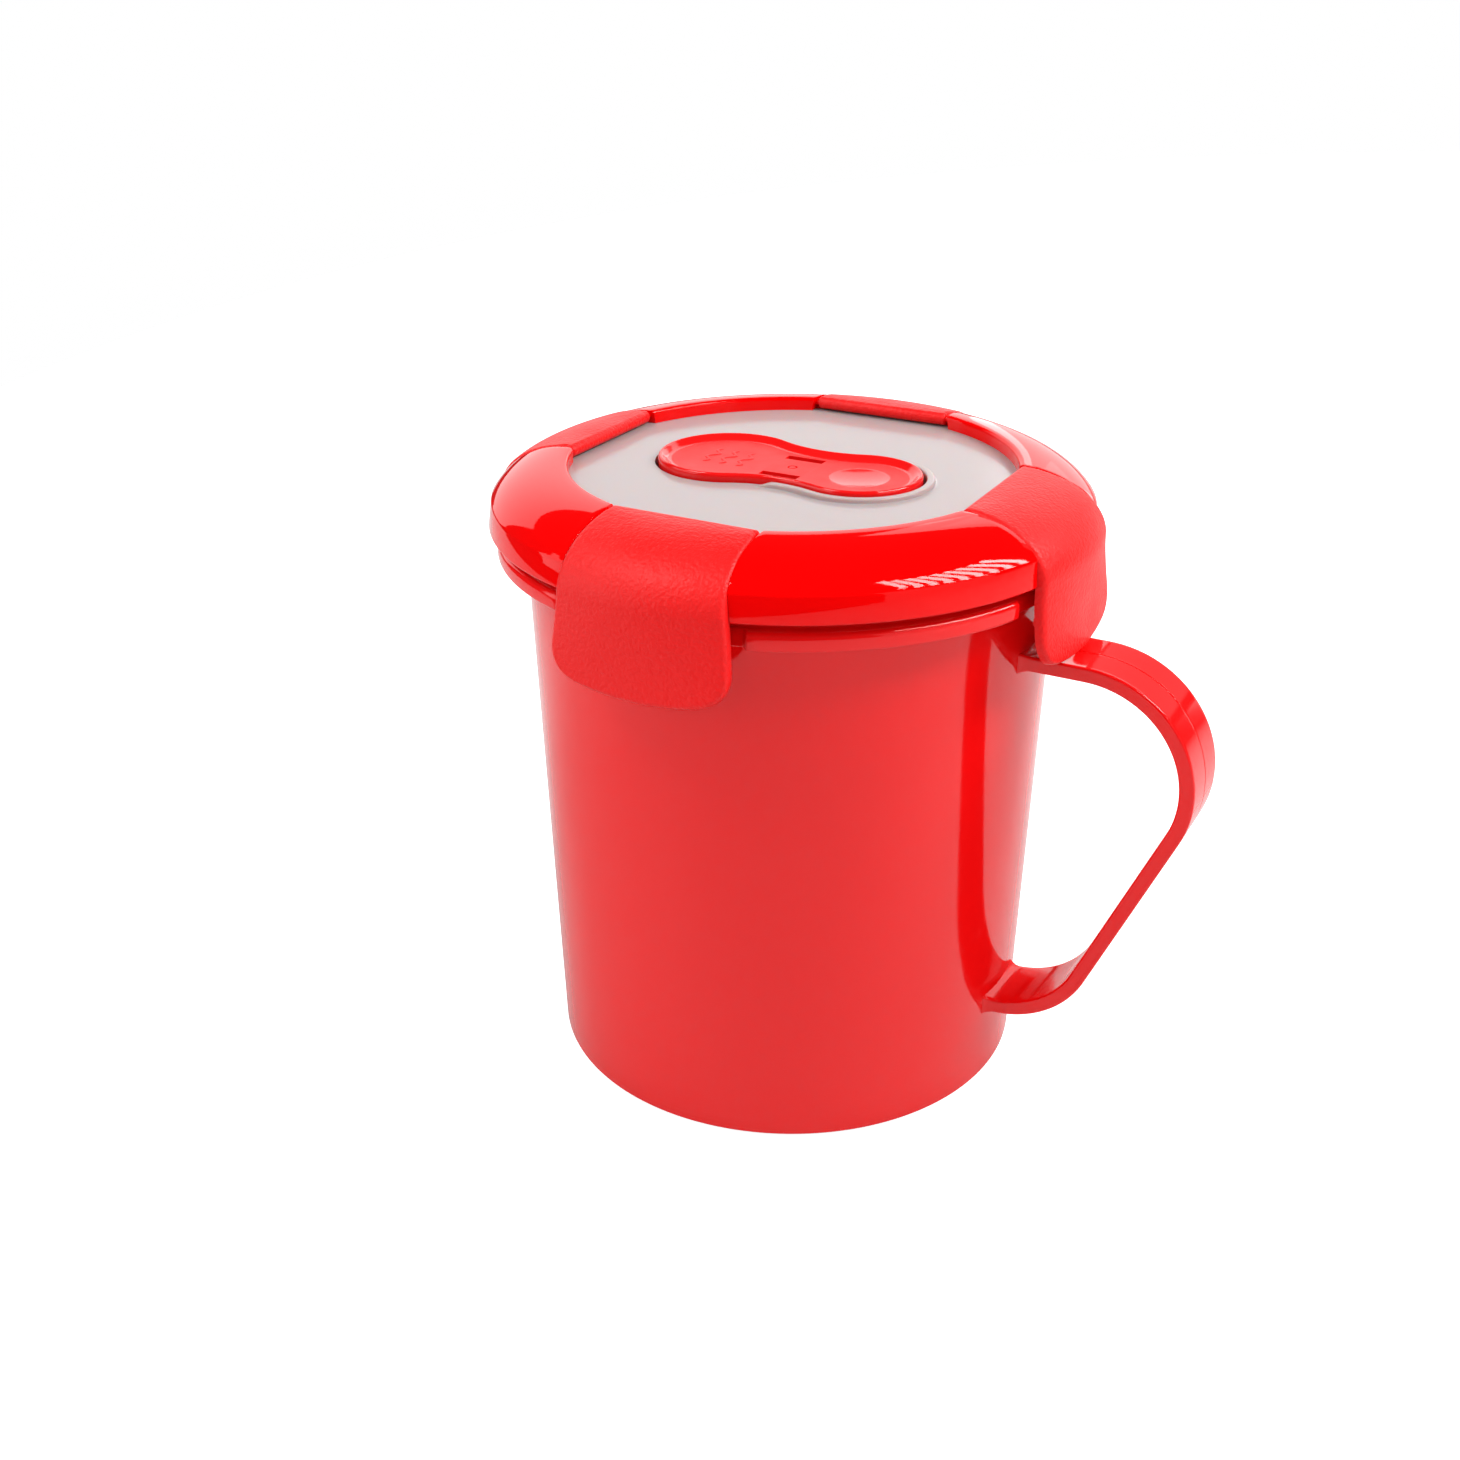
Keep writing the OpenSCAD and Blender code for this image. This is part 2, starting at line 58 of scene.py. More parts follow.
# %% Camera
CAMERA_AT = Vector((140.15, -278.34, 211.76)) * MM
LOOK = Vector((-0.4355, 0.7897, -0.4321)).normalized()
CAMERA_UP = Vector((-0.2046, 0.3807, 0.9018))
LENS_MM = 43.359
SENSOR_MM = 36.0


def add_camera():
    right = LOOK.cross(CAMERA_UP).normalized()
    up = right.cross(LOOK)
    data = bpy.data.cameras.new("photo_camera")
    data.sensor_width = SENSOR_MM
    data.lens = LENS_MM
    data.clip_start = 0.01
    camera = bpy.data.objects.new("photo_camera", data)
    bpy.context.collection.objects.link(camera)
    turn = Matrix((right, up, -LOOK)).transposed().to_4x4()
    camera.matrix_world = Matrix.Translation(CAMERA_AT) @ turn
    bpy.context.scene.camera = camera


add_camera()
print("camera stands", round(CAMERA_AT.length / MM), "mm from the base's middle")

# %% [markdown]
# ## Outlines and sweeps
# Nearly every piece here is a turned shape. A profile of points in millimetres, as distance from
# the axis and height, is spun round the axis. The helpers give arcs, rounded corners and a smooth
# curve through a few points, and make a finished object out of a bmesh.

# %% Profile helpers
def arc(cx, cz, rx, start, end, steps, rz=None):
    """Points on a circle or an ellipse between two angles in degrees."""
    rz = rx if rz is None else rz
    turns = [math.radians(start + (end - start) * i / steps) for i in range(steps + 1)]
    return [(cx + rx * math.cos(t), cz + rz * math.sin(t)) for t in turns]


def rounded(points, radius, steps=5, closed=False):
    """The same outline with each corner rounded, as far as its two sides allow."""
    out = []
    count = len(points)
    for i, corner in enumerate(points):
        r = radius[i] if isinstance(radius, (list, tuple)) else radius
        if r == 0 or (not closed and i in (0, count - 1)):
            out.append(corner)
            continue
        here = Vector(corner)
        back = Vector(points[i - 1]) - here
        ahead = Vector(points[(i + 1) % count]) - here
        half = back.angle(ahead) / 2
        cut = min(r / math.tan(half), back.length * 0.49, ahead.length * 0.49)
        r = cut * math.tan(half)
        back.normalize()
        ahead.normalize()
        centre = here + (back + ahead).normalized() * (r / math.sin(half))
        first = here + back * cut - centre
        last = here + ahead * cut - centre
        swing = first.angle_signed(last)
        for k in range(steps + 1):
            turn = -swing * k / steps
            c, s = math.cos(turn), math.sin(turn)
            out.append((centre.x + first.x * c - first.y * s, centre.y + first.x * s + first.y * c))
    return out


def smooth_path(points, steps):
    """A curve that passes through every point, for a wall that swings in and out."""
    out = []
    for i in range(len(points) - 1):
        p1, p2 = Vector(points[i]), Vector(points[i + 1])
        p0 = Vector(points[i - 1]) if i else p1
        p3 = Vector(points[i + 2]) if i + 2 < len(points) else p2
        for k in range(steps):
            t = k / steps
            spot = 0.5 * (2 * p1 + (p2 - p0) * t + (2 * p0 - 5 * p1 + 4 * p2 - p3) * t * t
                          + (3 * p1 - p0 - 3 * p2 + p3) * t ** 3)
            out.append((spot.x, spot.y))
    out.append(tuple(points[-1]))
    return out


def ease(share):
    """Goes smoothly from 0 to 1."""
    share = min(max(share, 0), 1)
    return share * share * (3 - 2 * share)


# %% Mesh helpers
def draw_profile(bm, points, closed=True):
    """A profile as vertices and edges in the XZ plane."""
    verts = [bm.verts.new((r * MM, 0, z * MM)) for r, z in points]
    ends = zip(verts, verts[1:] + verts[:1]) if closed else zip(verts, verts[1:])
    return verts, [bm.edges.new(pair) for pair in ends]


def spin_round(bm, points, steps, closed=True):
    """A profile turned a full circle about Z."""
    verts, edges = draw_profile(bm, points, closed)
    bmesh.ops.spin(bm, geom=verts + edges, cent=(0, 0, 0), axis=(0, 0, 1),
                   angle=2 * math.pi, steps=steps, use_merge=True, use_duplicate=False)
    bmesh.ops.remove_doubles(bm, verts=bm.verts, dist=MERGE_M)


def sweep_between(bm, points, steps, low, high):
    """A closed profile swept round Z between two sides. low and high give the azimuth in radians
    at which each point of the profile starts and ends, so that the ends can be straight cuts."""
    old = set(bm.verts)
    verts, edges = draw_profile(bm, points)
    first = bm.faces.new(verts)
    made = bmesh.ops.spin(bm, geom=verts + edges + [first], cent=(0, 0, 0), axis=(0, 0, 1),
                          angle=QUARTER, steps=steps, use_merge=False, use_duplicate=False)
    caps = [first] + [f for f in made["geom_last"] if isinstance(f, bmesh.types.BMFace)]
    for v in bm.verts:
        if v in old:
            continue
        r, z = math.hypot(v.co.x, v.co.y), v.co.z
        share = math.atan2(v.co.y, v.co.x) / QUARTER
        turn = low(r / MM, z / MM) * (1 - share) + high(r / MM, z / MM) * share
        v.co = (r * math.cos(turn), r * math.sin(turn), z)
    return caps


def start_chain(bm, spots):
    """A closed row of vertices in millimetres, joined by edges."""
    chain = [bm.verts.new(Vector(spot) * MM) for spot in spots]
    for pair in zip(chain, chain[1:] + chain[:1]):
        bm.edges.new(pair)
    return chain


def extend_chain(bm, chain, spots, closed=True):
    """Extrudes a row of vertices and moves the new row onto its own spots."""
    pairs = zip(chain, chain[1:] + chain[:1] if closed else chain[1:])
    made = bmesh.ops.extrude_edge_only(bm, edges=[bm.edges.get(pair) for pair in pairs])["geom"]
    fresh = {v for v in made if isinstance(v, bmesh.types.BMVert)}
    row = [next(e.other_vert(v) for e in v.link_edges if e.other_vert(v) in fresh) for v in chain]
    for v, spot in zip(row, spots):
        v.co = Vector(spot) * MM
    return row


def push_loop(bm, edges, along, steps):
    """Extrudes a loop of edges along a straight line in millimetres, in equal steps."""
    for _ in range(steps):
        made = bmesh.ops.extrude_edge_only(bm, edges=edges)["geom"]
        verts = [v for v in made if isinstance(v, bmesh.types.BMVert)]
        edges = [e for e in made if isinstance(e, bmesh.types.BMEdge)
                 and e.verts[0] in verts and e.verts[1] in verts]
        bmesh.ops.translate(bm, verts=verts, vec=along * MM / steps)
    return edges


def add_box(bm, size, at):
    """A box, by its size and its middle in millimetres."""
    verts = bmesh.ops.create_cube(bm, size=1.0)["verts"]
    bmesh.ops.scale(bm, verts=verts, vec=Vector(size) * MM)
    bmesh.ops.translate(bm, verts=verts, vec=Vector(at) * MM)


def add_rod(bm, radius, length, at, segments):
    """A round bar that lies along Y, by its middle in millimetres."""
    verts = bmesh.ops.create_cone(bm, segments=segments, radius1=radius * MM,
                                  radius2=radius * MM, depth=length * MM, cap_ends=True)["verts"]
    bmesh.ops.rotate(bm, verts=verts, cent=(0, 0, 0), matrix=Matrix.Rotation(QUARTER, 3, "X"))
    bmesh.ops.translate(bm, verts=verts, vec=Vector(at) * MM)
    return verts


def turn_new(bm, old, quarters):
    """Turns all that was made since old about Z, by a number of quarters."""
    fresh = [v for v in bm.verts if v not in old]
    bmesh.ops.rotate(bm, verts=fresh, cent=(0, 0, 0),
                     matrix=Matrix.Rotation(quarters * QUARTER, 3, "Z"))


def round_edges(bm, edges, radius):
    """Rounds edges over in four steps."""
    bmesh.ops.bevel(bm, geom=edges, offset=radius * MM, offset_type="OFFSET", segments=4,
                    profile=0.5, affect="EDGES", material=-1, clamp_overlap=True)


def to_object(bm, name):
    """Turns a bmesh into an object of the scene."""
    mesh = bpy.data.meshes.new(name)
    bm.to_mesh(mesh)
    bm.free()
    made = bpy.data.objects.new(name, mesh)
    bpy.context.collection.objects.link(made)
    return made


def make_piece(bm, name, body, materials, nodes=(), crease=40):
    """Turns a bmesh into a finished object that rides on its body."""
    bmesh.ops.remove_doubles(bm, verts=bm.verts, dist=MERGE_M)
    bmesh.ops.recalc_face_normals(bm, faces=bm.faces)
    piece = to_object(bm, name)
    mesh = piece.data
    mesh.shade_smooth()
    mesh.set_sharp_from_angle(angle=math.radians(crease))
    for material in materials:
        mesh.materials.append(material)
    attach(piece, body)
    if nodes:
        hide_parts(*nodes)
    print(name, len(mesh.polygons), "faces")
    return piece


# %% [markdown]
# ## The plastics and the rubber
# All the pieces but the two seals are moulded plastic, and each mould was finished another way.
# The mug is smooth with a soft sheen, the ring is polished, the clips are spark eroded and so
# matte and grainy, the vent has a gloss lip round a satin face, and the panel is clear but
# slightly frosted. One recipe makes them all: a slow mottle in the colour, a patchy roughness,
# and a grain in the bump at the size of the real texture.

# %% Material recipe
PLASTIC_IOR = 1.46


def node_tools(name):
    material = bpy.data.materials.new(name)
    material.use_nodes = True
    tree = material.node_tree
    shader = tree.nodes["Principled BSDF"]
    place = tree.nodes.new("ShaderNodeTexCoord")

    def add(kind, **values):
        node = tree.nodes.new(kind)
        for key, value in values.items():
            setattr(node, key, value)
        return node

    def noise(size_mm, detail=2.0, rough=0.5):
        node = add("ShaderNodeTexNoise")
        node.inputs["Scale"].default_value = 1 / (size_mm * MM)
        node.inputs["Detail"].default_value = detail
        node.inputs["Roughness"].default_value = rough
        tree.links.new(place.outputs["Object"], node.inputs["Vector"])
        return node.outputs["Fac"]

    def spread(source, low, high):
        node = add("ShaderNodeMapRange")
        node.inputs["From Min"].default_value = 0.3
        node.inputs["From Max"].default_value = 0.7
        node.inputs["To Min"].default_value = low
        node.inputs["To Max"].default_value = high
        tree.links.new(source, node.inputs["Value"])
        return node.outputs["Result"]

    def blend_colours(source, one, two):
        node = add("ShaderNodeMix", data_type="RGBA")
        node.inputs["A"].default_value = (*one, 1)
        node.inputs["B"].default_value = (*two, 1)
        tree.links.new(source, node.inputs["Factor"])
        return node.outputs["Result"]

    return material, tree, shader, add, noise, spread, blend_colours


def moulded(name, colour, mottle, rough, swing, grain_mm, deep_mm, patch_mm=14.0, inputs=None):
    """Moulded plastic: colour and mottle are two near colours, swing is how far the roughness
    wanders, and the grain of the mould has a size and a depth."""
    material, tree, shader, add, noise, spread, blend_colours = node_tools(name)
    tone = blend_colours(spread(noise(patch_mm, 3.0), 0.0, 1.0), colour, mottle)
    tree.links.new(tone, shader.inputs["Base Color"])
    sheen = spread(noise(patch_mm * 0.4, 4.0, 0.6), rough - swing, rough + swing)
    tree.links.new(sheen, shader.inputs["Roughness"])
    bump = add("ShaderNodeBump")
    bump.inputs["Distance"].default_value = deep_mm * MM
    bump.inputs["Strength"].default_value = 1.0
    tree.links.new(noise(grain_mm, 2.0, 0.55), bump.inputs["Height"])
    tree.links.new(bump.outputs["Normal"], shader.inputs["Normal"])
    shader.inputs["IOR"].default_value = PLASTIC_IOR
    for key, value in (inputs or {}).items():
        shader.inputs[key].default_value = value
    return material


# %% The finishes
MUG_PLASTIC = moulded("mug plastic", (0.82, 0.0035, 0.0040), (0.81, 0.004, 0.0045),
                      rough=0.085, swing=0.006, grain_mm=2.2, deep_mm=0.0008, patch_mm=30.0)
RING_PLASTIC = moulded("polished ring plastic", (0.86, 0.0004, 0.0006), (0.85, 0.0005, 0.0007),
                       rough=0.035, swing=0.008, grain_mm=3.0, deep_mm=0.0006, patch_mm=30.0,
                       inputs={"Specular IOR Level": 0.28})
CLIP_PLASTIC = moulded("spark eroded clip plastic", (0.84, 0.006, 0.006), (0.825, 0.007, 0.007),
                       rough=0.42, swing=0.04, grain_mm=0.70, deep_mm=0.20, patch_mm=20.0,
                       inputs={"Specular IOR Level": 0.31})
VENT_GLOSS = moulded("vent gloss", (0.80, 0.006, 0.006), (0.79, 0.007, 0.007),
                     rough=0.10, swing=0.015, grain_mm=2.4, deep_mm=0.0008)
VENT_SATIN = moulded("vent satin face", (0.86, 0.012, 0.012), (0.84, 0.014, 0.013),
                     rough=0.46, swing=0.04, grain_mm=0.35, deep_mm=0.012,
                     inputs={"Specular IOR Level": 0.28})
SEAL_RUBBER = moulded("seal silicone", (0.80, 0.79, 0.76), (0.76, 0.75, 0.72),
                      rough=0.50, swing=0.05, grain_mm=0.7, deep_mm=0.006,
                      inputs={"Subsurface Weight": 0.3, "Subsurface Scale": 0.002})
CLEAR_PLASTIC = moulded("frosted clear panel", (0.475, 0.40, 0.395), (0.47, 0.395, 0.39),
                        rough=0.16, swing=0.006, grain_mm=3.0, deep_mm=0.0008, patch_mm=30.0,
                        inputs={"Transmission Weight": 0.16, "Specular IOR Level": 0.25,
                                "Subsurface Weight": 0.45, "Subsurface Scale": 0.004})
print("materials", [m.name for m in bpy.data.materials])

# %% [markdown]
# ## The mug
# The mug is one moulding. Its body is a plain cone, turned from a profile that runs up the outside,
# over the flange and the rim, and down the inside. The flange steps back behind each clip to make
# room for the clip's hook, so after the spin the columns of the mesh are moved round until some of
# them stand close together at each end of a notch, and the flange's edge between is drawn in.

# %% Mug body
BASE_R, BODY_R, BODY_H = 46.1, 49.2, 102.0
WALL, FLOOR = 2.4, 3.0
RIM_R, MOUTH_R, FLANGE_R, NOTCH_R = 51.8, 49.6, 54.5, 52.9
FLANGE_TOP, RIM_TOP = 105.3, 107.2
MUG_COLUMNS = 288
# The end of a notch, how close the columns on its two sides stand, the shares of all columns up
# to them, and where the step in the flange starts and stops.
NOTCH_END, NOTCH_NEAR = math.radians(18.9), 0.03
INNER_SHARE, OUTER_SHARE = 0.36, 0.56
NOTCH_FROM, NOTCH_TO = math.radians(18.33), math.radians(19.47)


def body_r(z):
    return BASE_R + (BODY_R - BASE_R) * z / BODY_H


def mug_profile():
    outside = [(0, 0), (38.7, 0), (38.7, 0.6), (40.7, 0.6), (40.7, 0), (BASE_R, 0),
               (BODY_R, BODY_H), (FLANGE_R, BODY_H), (FLANGE_R, FLANGE_TOP), (RIM_R, FLANGE_TOP),
               (RIM_R, RIM_TOP)]
    inside = [(MOUTH_R, RIM_TOP), (MOUTH_R, 103.0), (body_r(100.8) - WALL, 100.8),
              (body_r(FLOOR) - WALL, FLOOR), (0, FLOOR)]
    radii = [0, 0.2, 0.2, 0.2, 0.3, 0.7, 0.7, 0.45, 1.1, 0.4, 0.6, 0.6, 1.0, 1.0, 6.0, 0]
    return rounded(outside + inside, radii, steps=6)


def notch_column(turn):
    """Moves a column so that the notches' ends get the close columns that they need."""
    place = (turn + QUARTER / 2) % QUARTER - QUARTER / 2
    side, share = (1 if place > 0 else -1), abs(place) / (QUARTER / 2)
    low, high = NOTCH_END * (1 - NOTCH_NEAR), NOTCH_END * (1 + NOTCH_NEAR)
    if share < INNER_SHARE:
        moved = low * share / INNER_SHARE
    elif share < OUTER_SHARE:
        moved = low + (high - low) * (share - INNER_SHARE) / (OUTER_SHARE - INNER_SHARE)
    else:
        moved = high + (QUARTER / 2 - high) * (share - OUTER_SHARE) / (1 - OUTER_SHARE)
    return turn - place + side * moved, side * moved


def build_mug_body(bm):
    spin_round(bm, mug_profile(), MUG_COLUMNS, closed=False)
    for v in bm.verts:
        r, turn = math.hypot(v.co.x, v.co.y) / MM, math.atan2(v.co.y, v.co.x)
        turn, place = notch_column(turn)
        if r > NOTCH_R and v.co.z > (BODY_H - 0.1) * MM:
            drawn_in = max(NOTCH_R - (FLANGE_R - r), RIM_R)
            share = ease((abs(place) - NOTCH_FROM) / (NOTCH_TO - NOTCH_FROM))
            r = drawn_in * (1 - share) + r * share
        v.co = (r * MM * math.cos(turn), r * MM * math.sin(turn), v.co.z)


mug_mesh = bmesh.new()
build_mug_body(mug_mesh)
print("mug body", len(mug_mesh.faces), "faces")

# %% [markdown]
# The handle is a flat strap with soft edges and a fine step along its middle, where the two halves
# of the mould met. Its section is drawn once and then extruded and spun along the same path as the
# real strap: out, round the upper bend, down the long slope, round the lower bend and back in.
# Near the body the strap grows a little on all sides, as the fillet of a moulding does.

# %% Handle
STRAP_W, STRAP_T = 14.0, 2.8
BEND_AT, BEND_R = Vector((60.0, 0, 69.6)), 21.2
FOOT_AT, FOOT_R = Vector((46.66, 0, 35.9)), 20.0
LEAN = math.radians(23.5)
# The fine step along the strap's middle, and how far before the bend it fades out.
STEP_H, STEP_RUN = 0.16, 0.08
# How deep the strap's ends stand in the wall, and how much and over what length it grows there.
ROOT_IN, ROOT_GROW, ROOT_FADE, ROOT_REACH = 1.1, 0.7, 2.0, 5
UPPER_ROOT_Z, LOWER_ROOT_Z = 80, 28


def strap_section():
    """Half widths across Y and depths inward from the strap's outer face."""
    w, t = STRAP_W / 2, STRAP_T
    corners = [(-w, 0), (-w + 0.8, 0), (-0.5, 0), (-0.2, 0), (-0.08, 0.14), (0.08, 0.14), (0.2, 0),
               (0.5, 0), (w - 0.8, 0), (w, 0), (w, 0.85), (w, t - 0.95), (w, t), (w - 1.0, t),
               (-w + 1.0, t), (-w, t), (-w, t - 0.95), (-w, 0.85)]
    radii = [0.55, 0, 0, 0.05, 0.04, 0.04, 0.05, 0, 0, 0.55, 0, 0, 0.7, 0, 0, 0.7, 0, 0]
    return rounded(corners, radii, steps=5, closed=True)


def spin_strap(bm, edges, centre, angle, steps):
    geom = edges + list({v for e in edges for v in e.verts})
    made = bmesh.ops.spin(bm, geom=geom, cent=centre * MM, axis=(0, 1, 0), angle=angle,
                          steps=steps, use_merge=False, use_duplicate=False)
    return [e for e in made["geom_last"] if isinstance(e, bmesh.types.BMEdge)]


def build_handle(bm):
    old = set(bm.verts)
    top_z = BEND_AT.z + BEND_R
    start_x = body_r(top_z) - ROOT_IN
    verts = [bm.verts.new((start_x * MM, y * MM, (top_z - d) * MM)) for y, d in strap_section()]
    edges = [bm.edges.new(pair) for pair in zip(verts, verts[1:] + verts[:1])]
    bm.faces.new(verts)
    edges = push_loop(bm, edges, Vector((BEND_AT.x - STEP_RUN - start_x, 0, 0)), 24)
    edges = push_loop(bm, edges, Vector((STEP_RUN, 0, 0)), 1)
    edges = spin_strap(bm, edges, BEND_AT, QUARTER + LEAN, 44)
    slope = Vector((-math.sin(LEAN), 0, -math.cos(LEAN)))
    run = (BEND_AT - FOOT_AT).dot(-slope)
    edges = push_loop(bm, edges, slope * run, 24)
    edges = spin_strap(bm, edges, FOOT_AT, QUARTER - LEAN, 26)
    end_x = body_r(FOOT_AT.z - FOOT_R) - ROOT_IN
    edges = push_loop(bm, edges, Vector((end_x - FOOT_AT.x, 0, 0)), 12)
    bmesh.ops.contextual_create(bm, geom=edges)
    for v in bm.verts:
        if v in old:
            continue
        x, y, z = v.co / MM
        flat_top = z > top_z - 0.7 and x < BEND_AT.x - STEP_RUN / 2
        if flat_top and -STRAP_W / 2 + 0.6 < y < -0.1:
            v.co.z -= STEP_H * MM
            z -= STEP_H
        depth = math.hypot(x, y) - body_r(z)
        if depth < ROOT_REACH and (z > UPPER_ROOT_Z or z < LOWER_ROOT_Z):
            grow = ROOT_GROW * max(0.0, 1 - max(depth, 0) / ROOT_FADE) ** 2
            upper = z > UPPER_ROOT_Z
            middle = top_z - STRAP_T / 2 if upper else FOOT_AT.z - FOOT_R + STRAP_T / 2
            y += math.copysign(grow, y) if abs(y) > 1 else 0
            z += math.copysign(grow * 0.8, z - middle)
            v.co = Vector((x, y, z)) * MM


build_handle(mug_mesh)
make_piece(mug_mesh, "mug_with_handle", "mug_body", [MUG_PLASTIC], ["mug"])

# %% [markdown]
# ## The lid ring
# The ring is a dome with four recesses for the clips. Each stretch of dome between two clips is the
# same profile swept round the axis, but it starts and ends on straight cuts that lean with the
# clips' sides. A thinner floor runs under each clip, and a pin crosses the recess as its hinge.

# %% Ring
WINDOW_R, LID_TOP, PANEL_Z, SKIRT_Z = 41.0, 118.0, 115.4, 107.15
CREASE_Z, CREASE_R, SKIRT_R = 112.0, 55.1, 55.8
CLIP_CZ, CLIP_A, CLIP_B, CLIP_TOP = 107.45, 16.2, 10.65, 118.1
CLIP_HALF, FLAP_HALF, CLIP_END, CORNER_R, END_BOW = 13.8, 16.8, 91.5, 5.5, 1.2
CLIP_WALL, SIDE_GAP = 1.7, 0.7
HINGE_X, HINGE_Z, PIN_R, PIN_LONG, BARREL_R = 39.808, 116.9, 0.65, 32.0, 1.2
SIDE_SLOPE = (FLAP_HALF - CLIP_HALF) / (CLIP_TOP - CLIP_END - END_BOW - CORNER_R)
# The dome is part of an ellipse, from the window down to this angle above the crease.
CROWN_LOW = math.radians(24)
CROWN_A = (CREASE_R - WINDOW_R) / math.cos(CROWN_LOW)
CROWN_B = (LID_TOP - CREASE_Z) / (1 - math.sin(CROWN_LOW))


def clip_half(z):
    """Half width of a clip at a height."""
    return CLIP_HALF + (CLIP_TOP - min(z, CLIP_TOP)) * SIDE_SLOPE


def recess_edge(spare):
    """Azimuth of a recess's side wall, at a distance from the axis and a height."""
    return lambda r, z: math.asin(min((clip_half(z) + SIDE_GAP + spare) / max(r, 20.0), 1.0))


def ring_underside():
    """The inside of the skirt and the hollow of the dome, from the skirt's foot inwards."""
    skirt = [(54.2, SKIRT_Z), (54.2, 107.6), (52.2, 108.1), (52.2, 108.6), (54.1, 108.7)]
    return skirt + arc(WINDOW_R, CLIP_CZ, 13.2, 14, 80, 20, 7.65)


def ring_profile():
    lip = arc(WINDOW_R + 0.7, LID_TOP - 0.72, 0.7, 180, 92, 6)
    crown = arc(WINDOW_R, LID_TOP - CROWN_B, CROWN_A, 84, 26, 44, CROWN_B)
    crease = smooth_path([crown[-1], (CREASE_R + 0.05, CREASE_Z - 0.1), (55.27, 111.2)], 4)[1:]
    hem = arc(SKIRT_R - 0.4, SKIRT_Z + 0.4, 0.4, 0, -90, 6)
    return ([(WINDOW_R, PANEL_Z)] + lip + crown + crease + hem + ring_underside()
            + [(43.2, 115.0), (43.2, PANEL_Z)])


def on_dome(r, z):
    """True on the ring's outer face, clear of the window's lip and of the hem."""
    if r < WINDOW_R + 0.4 or z < SKIRT_Z + 0.25:
        return False
    if z < CREASE_Z:
        return r > 55.0
    reach = ((r - WINDOW_R) / CROWN_A) ** 2 + ((z - LID_TOP + CROWN_B) / CROWN_B) ** 2
    return reach > 0.93


def build_ring(bm):
    outer_edges = []
    side, low_side = recess_edge(0), recess_edge(0.5)
    for k in range(4):
        old = set(bm.verts)
        caps = sweep_between(bm, ring_profile(), 40, side, lambda r, z: QUARTER - side(r, z))
        bm.normal_update()
        for cap in caps:
            for e in cap.edges:
                middle = (e.verts[0].co + e.verts[1].co) / 2 / MM
                if on_dome(math.hypot(middle.x, middle.y), middle.z):
                    outer_edges.append(e)
        turn_new(bm, old, k)
    round_edges(bm, outer_edges, 0.45)
    for k in range(4):
        old = set(bm.verts)
        floor = arc(WINDOW_R, CLIP_CZ, 14.2, 80.5, 0, 24, 8.65)
        floor += [(55.2, SKIRT_Z)] + ring_underside()
        sweep_between(bm, floor, 28, lambda r, z: -low_side(r, z), low_side)
        add_rod(bm, PIN_R, PIN_LONG, (HINGE_X, 0, HINGE_Z), 24)
        turn_new(bm, old, k)


ring_mesh = bmesh.new()
build_ring(ring_mesh)
make_piece(ring_mesh, "domed_ring", "lid", [RING_PLASTIC], ["lid_ring"])

# %% [markdown]
# ## The clips
# A clip is a bent tongue of even thickness with round corners and a soft rim. Its outer sheet is a
# grid in the middle with rings of faces round three sides, so that the last rings can roll over
# the edge evenly, corners too. Each point is first placed on a flat plan, as a distance across and
# a distance along the clip, and then laid on the bent profile. The inner sheet is the same plan on
# a profile one wall further in, and the two are bridged.

# %% Clip plan
ROLL = 0.85
SIDE_STEPS, CORNER_STEPS, END_STEPS, CORNER_TURN = 20, 12, 12, 78


def clip_outer_profile():
    """The bent profile from the hinge to the free end, with its length along the way."""
    points = [(HINGE_X, CLIP_TOP), (40.4, CLIP_TOP)]
    points += arc(WINDOW_R, CLIP_CZ, CLIP_A, 90, 0, 60, CLIP_B)
    flap = [(57.2, CLIP_CZ), (57.18, 102.7), (57.1, 98.5), (57.22, 95.2), (57.45, 92.7),
            (57.6, CLIP_END)]
    points += smooth_path(flap, 8)[1:]
    lengths = [0.0]
    for a, b in zip(points, points[1:]):
        lengths.append(lengths[-1] + math.hypot(b[0] - a[0], b[1] - a[1]))
    return points, lengths


CLIP_PATH, CLIP_LENGTHS = clip_outer_profile()
CLIP_LONG = CLIP_LENGTHS[-1]


def on_clip_path(along, inset):
    """Distance from the axis and height, at a length along the profile and a depth under it."""
    along = min(max(along, 0), CLIP_LONG)
    i = 1
    while i < len(CLIP_LENGTHS) - 1 and CLIP_LENGTHS[i] < along:
        i += 1
    a, b = Vector(CLIP_PATH[i - 1]), Vector(CLIP_PATH[i])
    share = (along - CLIP_LENGTHS[i - 1]) / max(CLIP_LENGTHS[i] - CLIP_LENGTHS[i - 1], 1e-9)
    near = Vector(CLIP_PATH[max(i - 3, 0)])
    far = Vector(CLIP_PATH[min(i + 2, len(CLIP_PATH) - 1)])
    run = (far - near).normalized()
    return a.lerp(b, share) - Vector((-run.y, run.x)) * inset


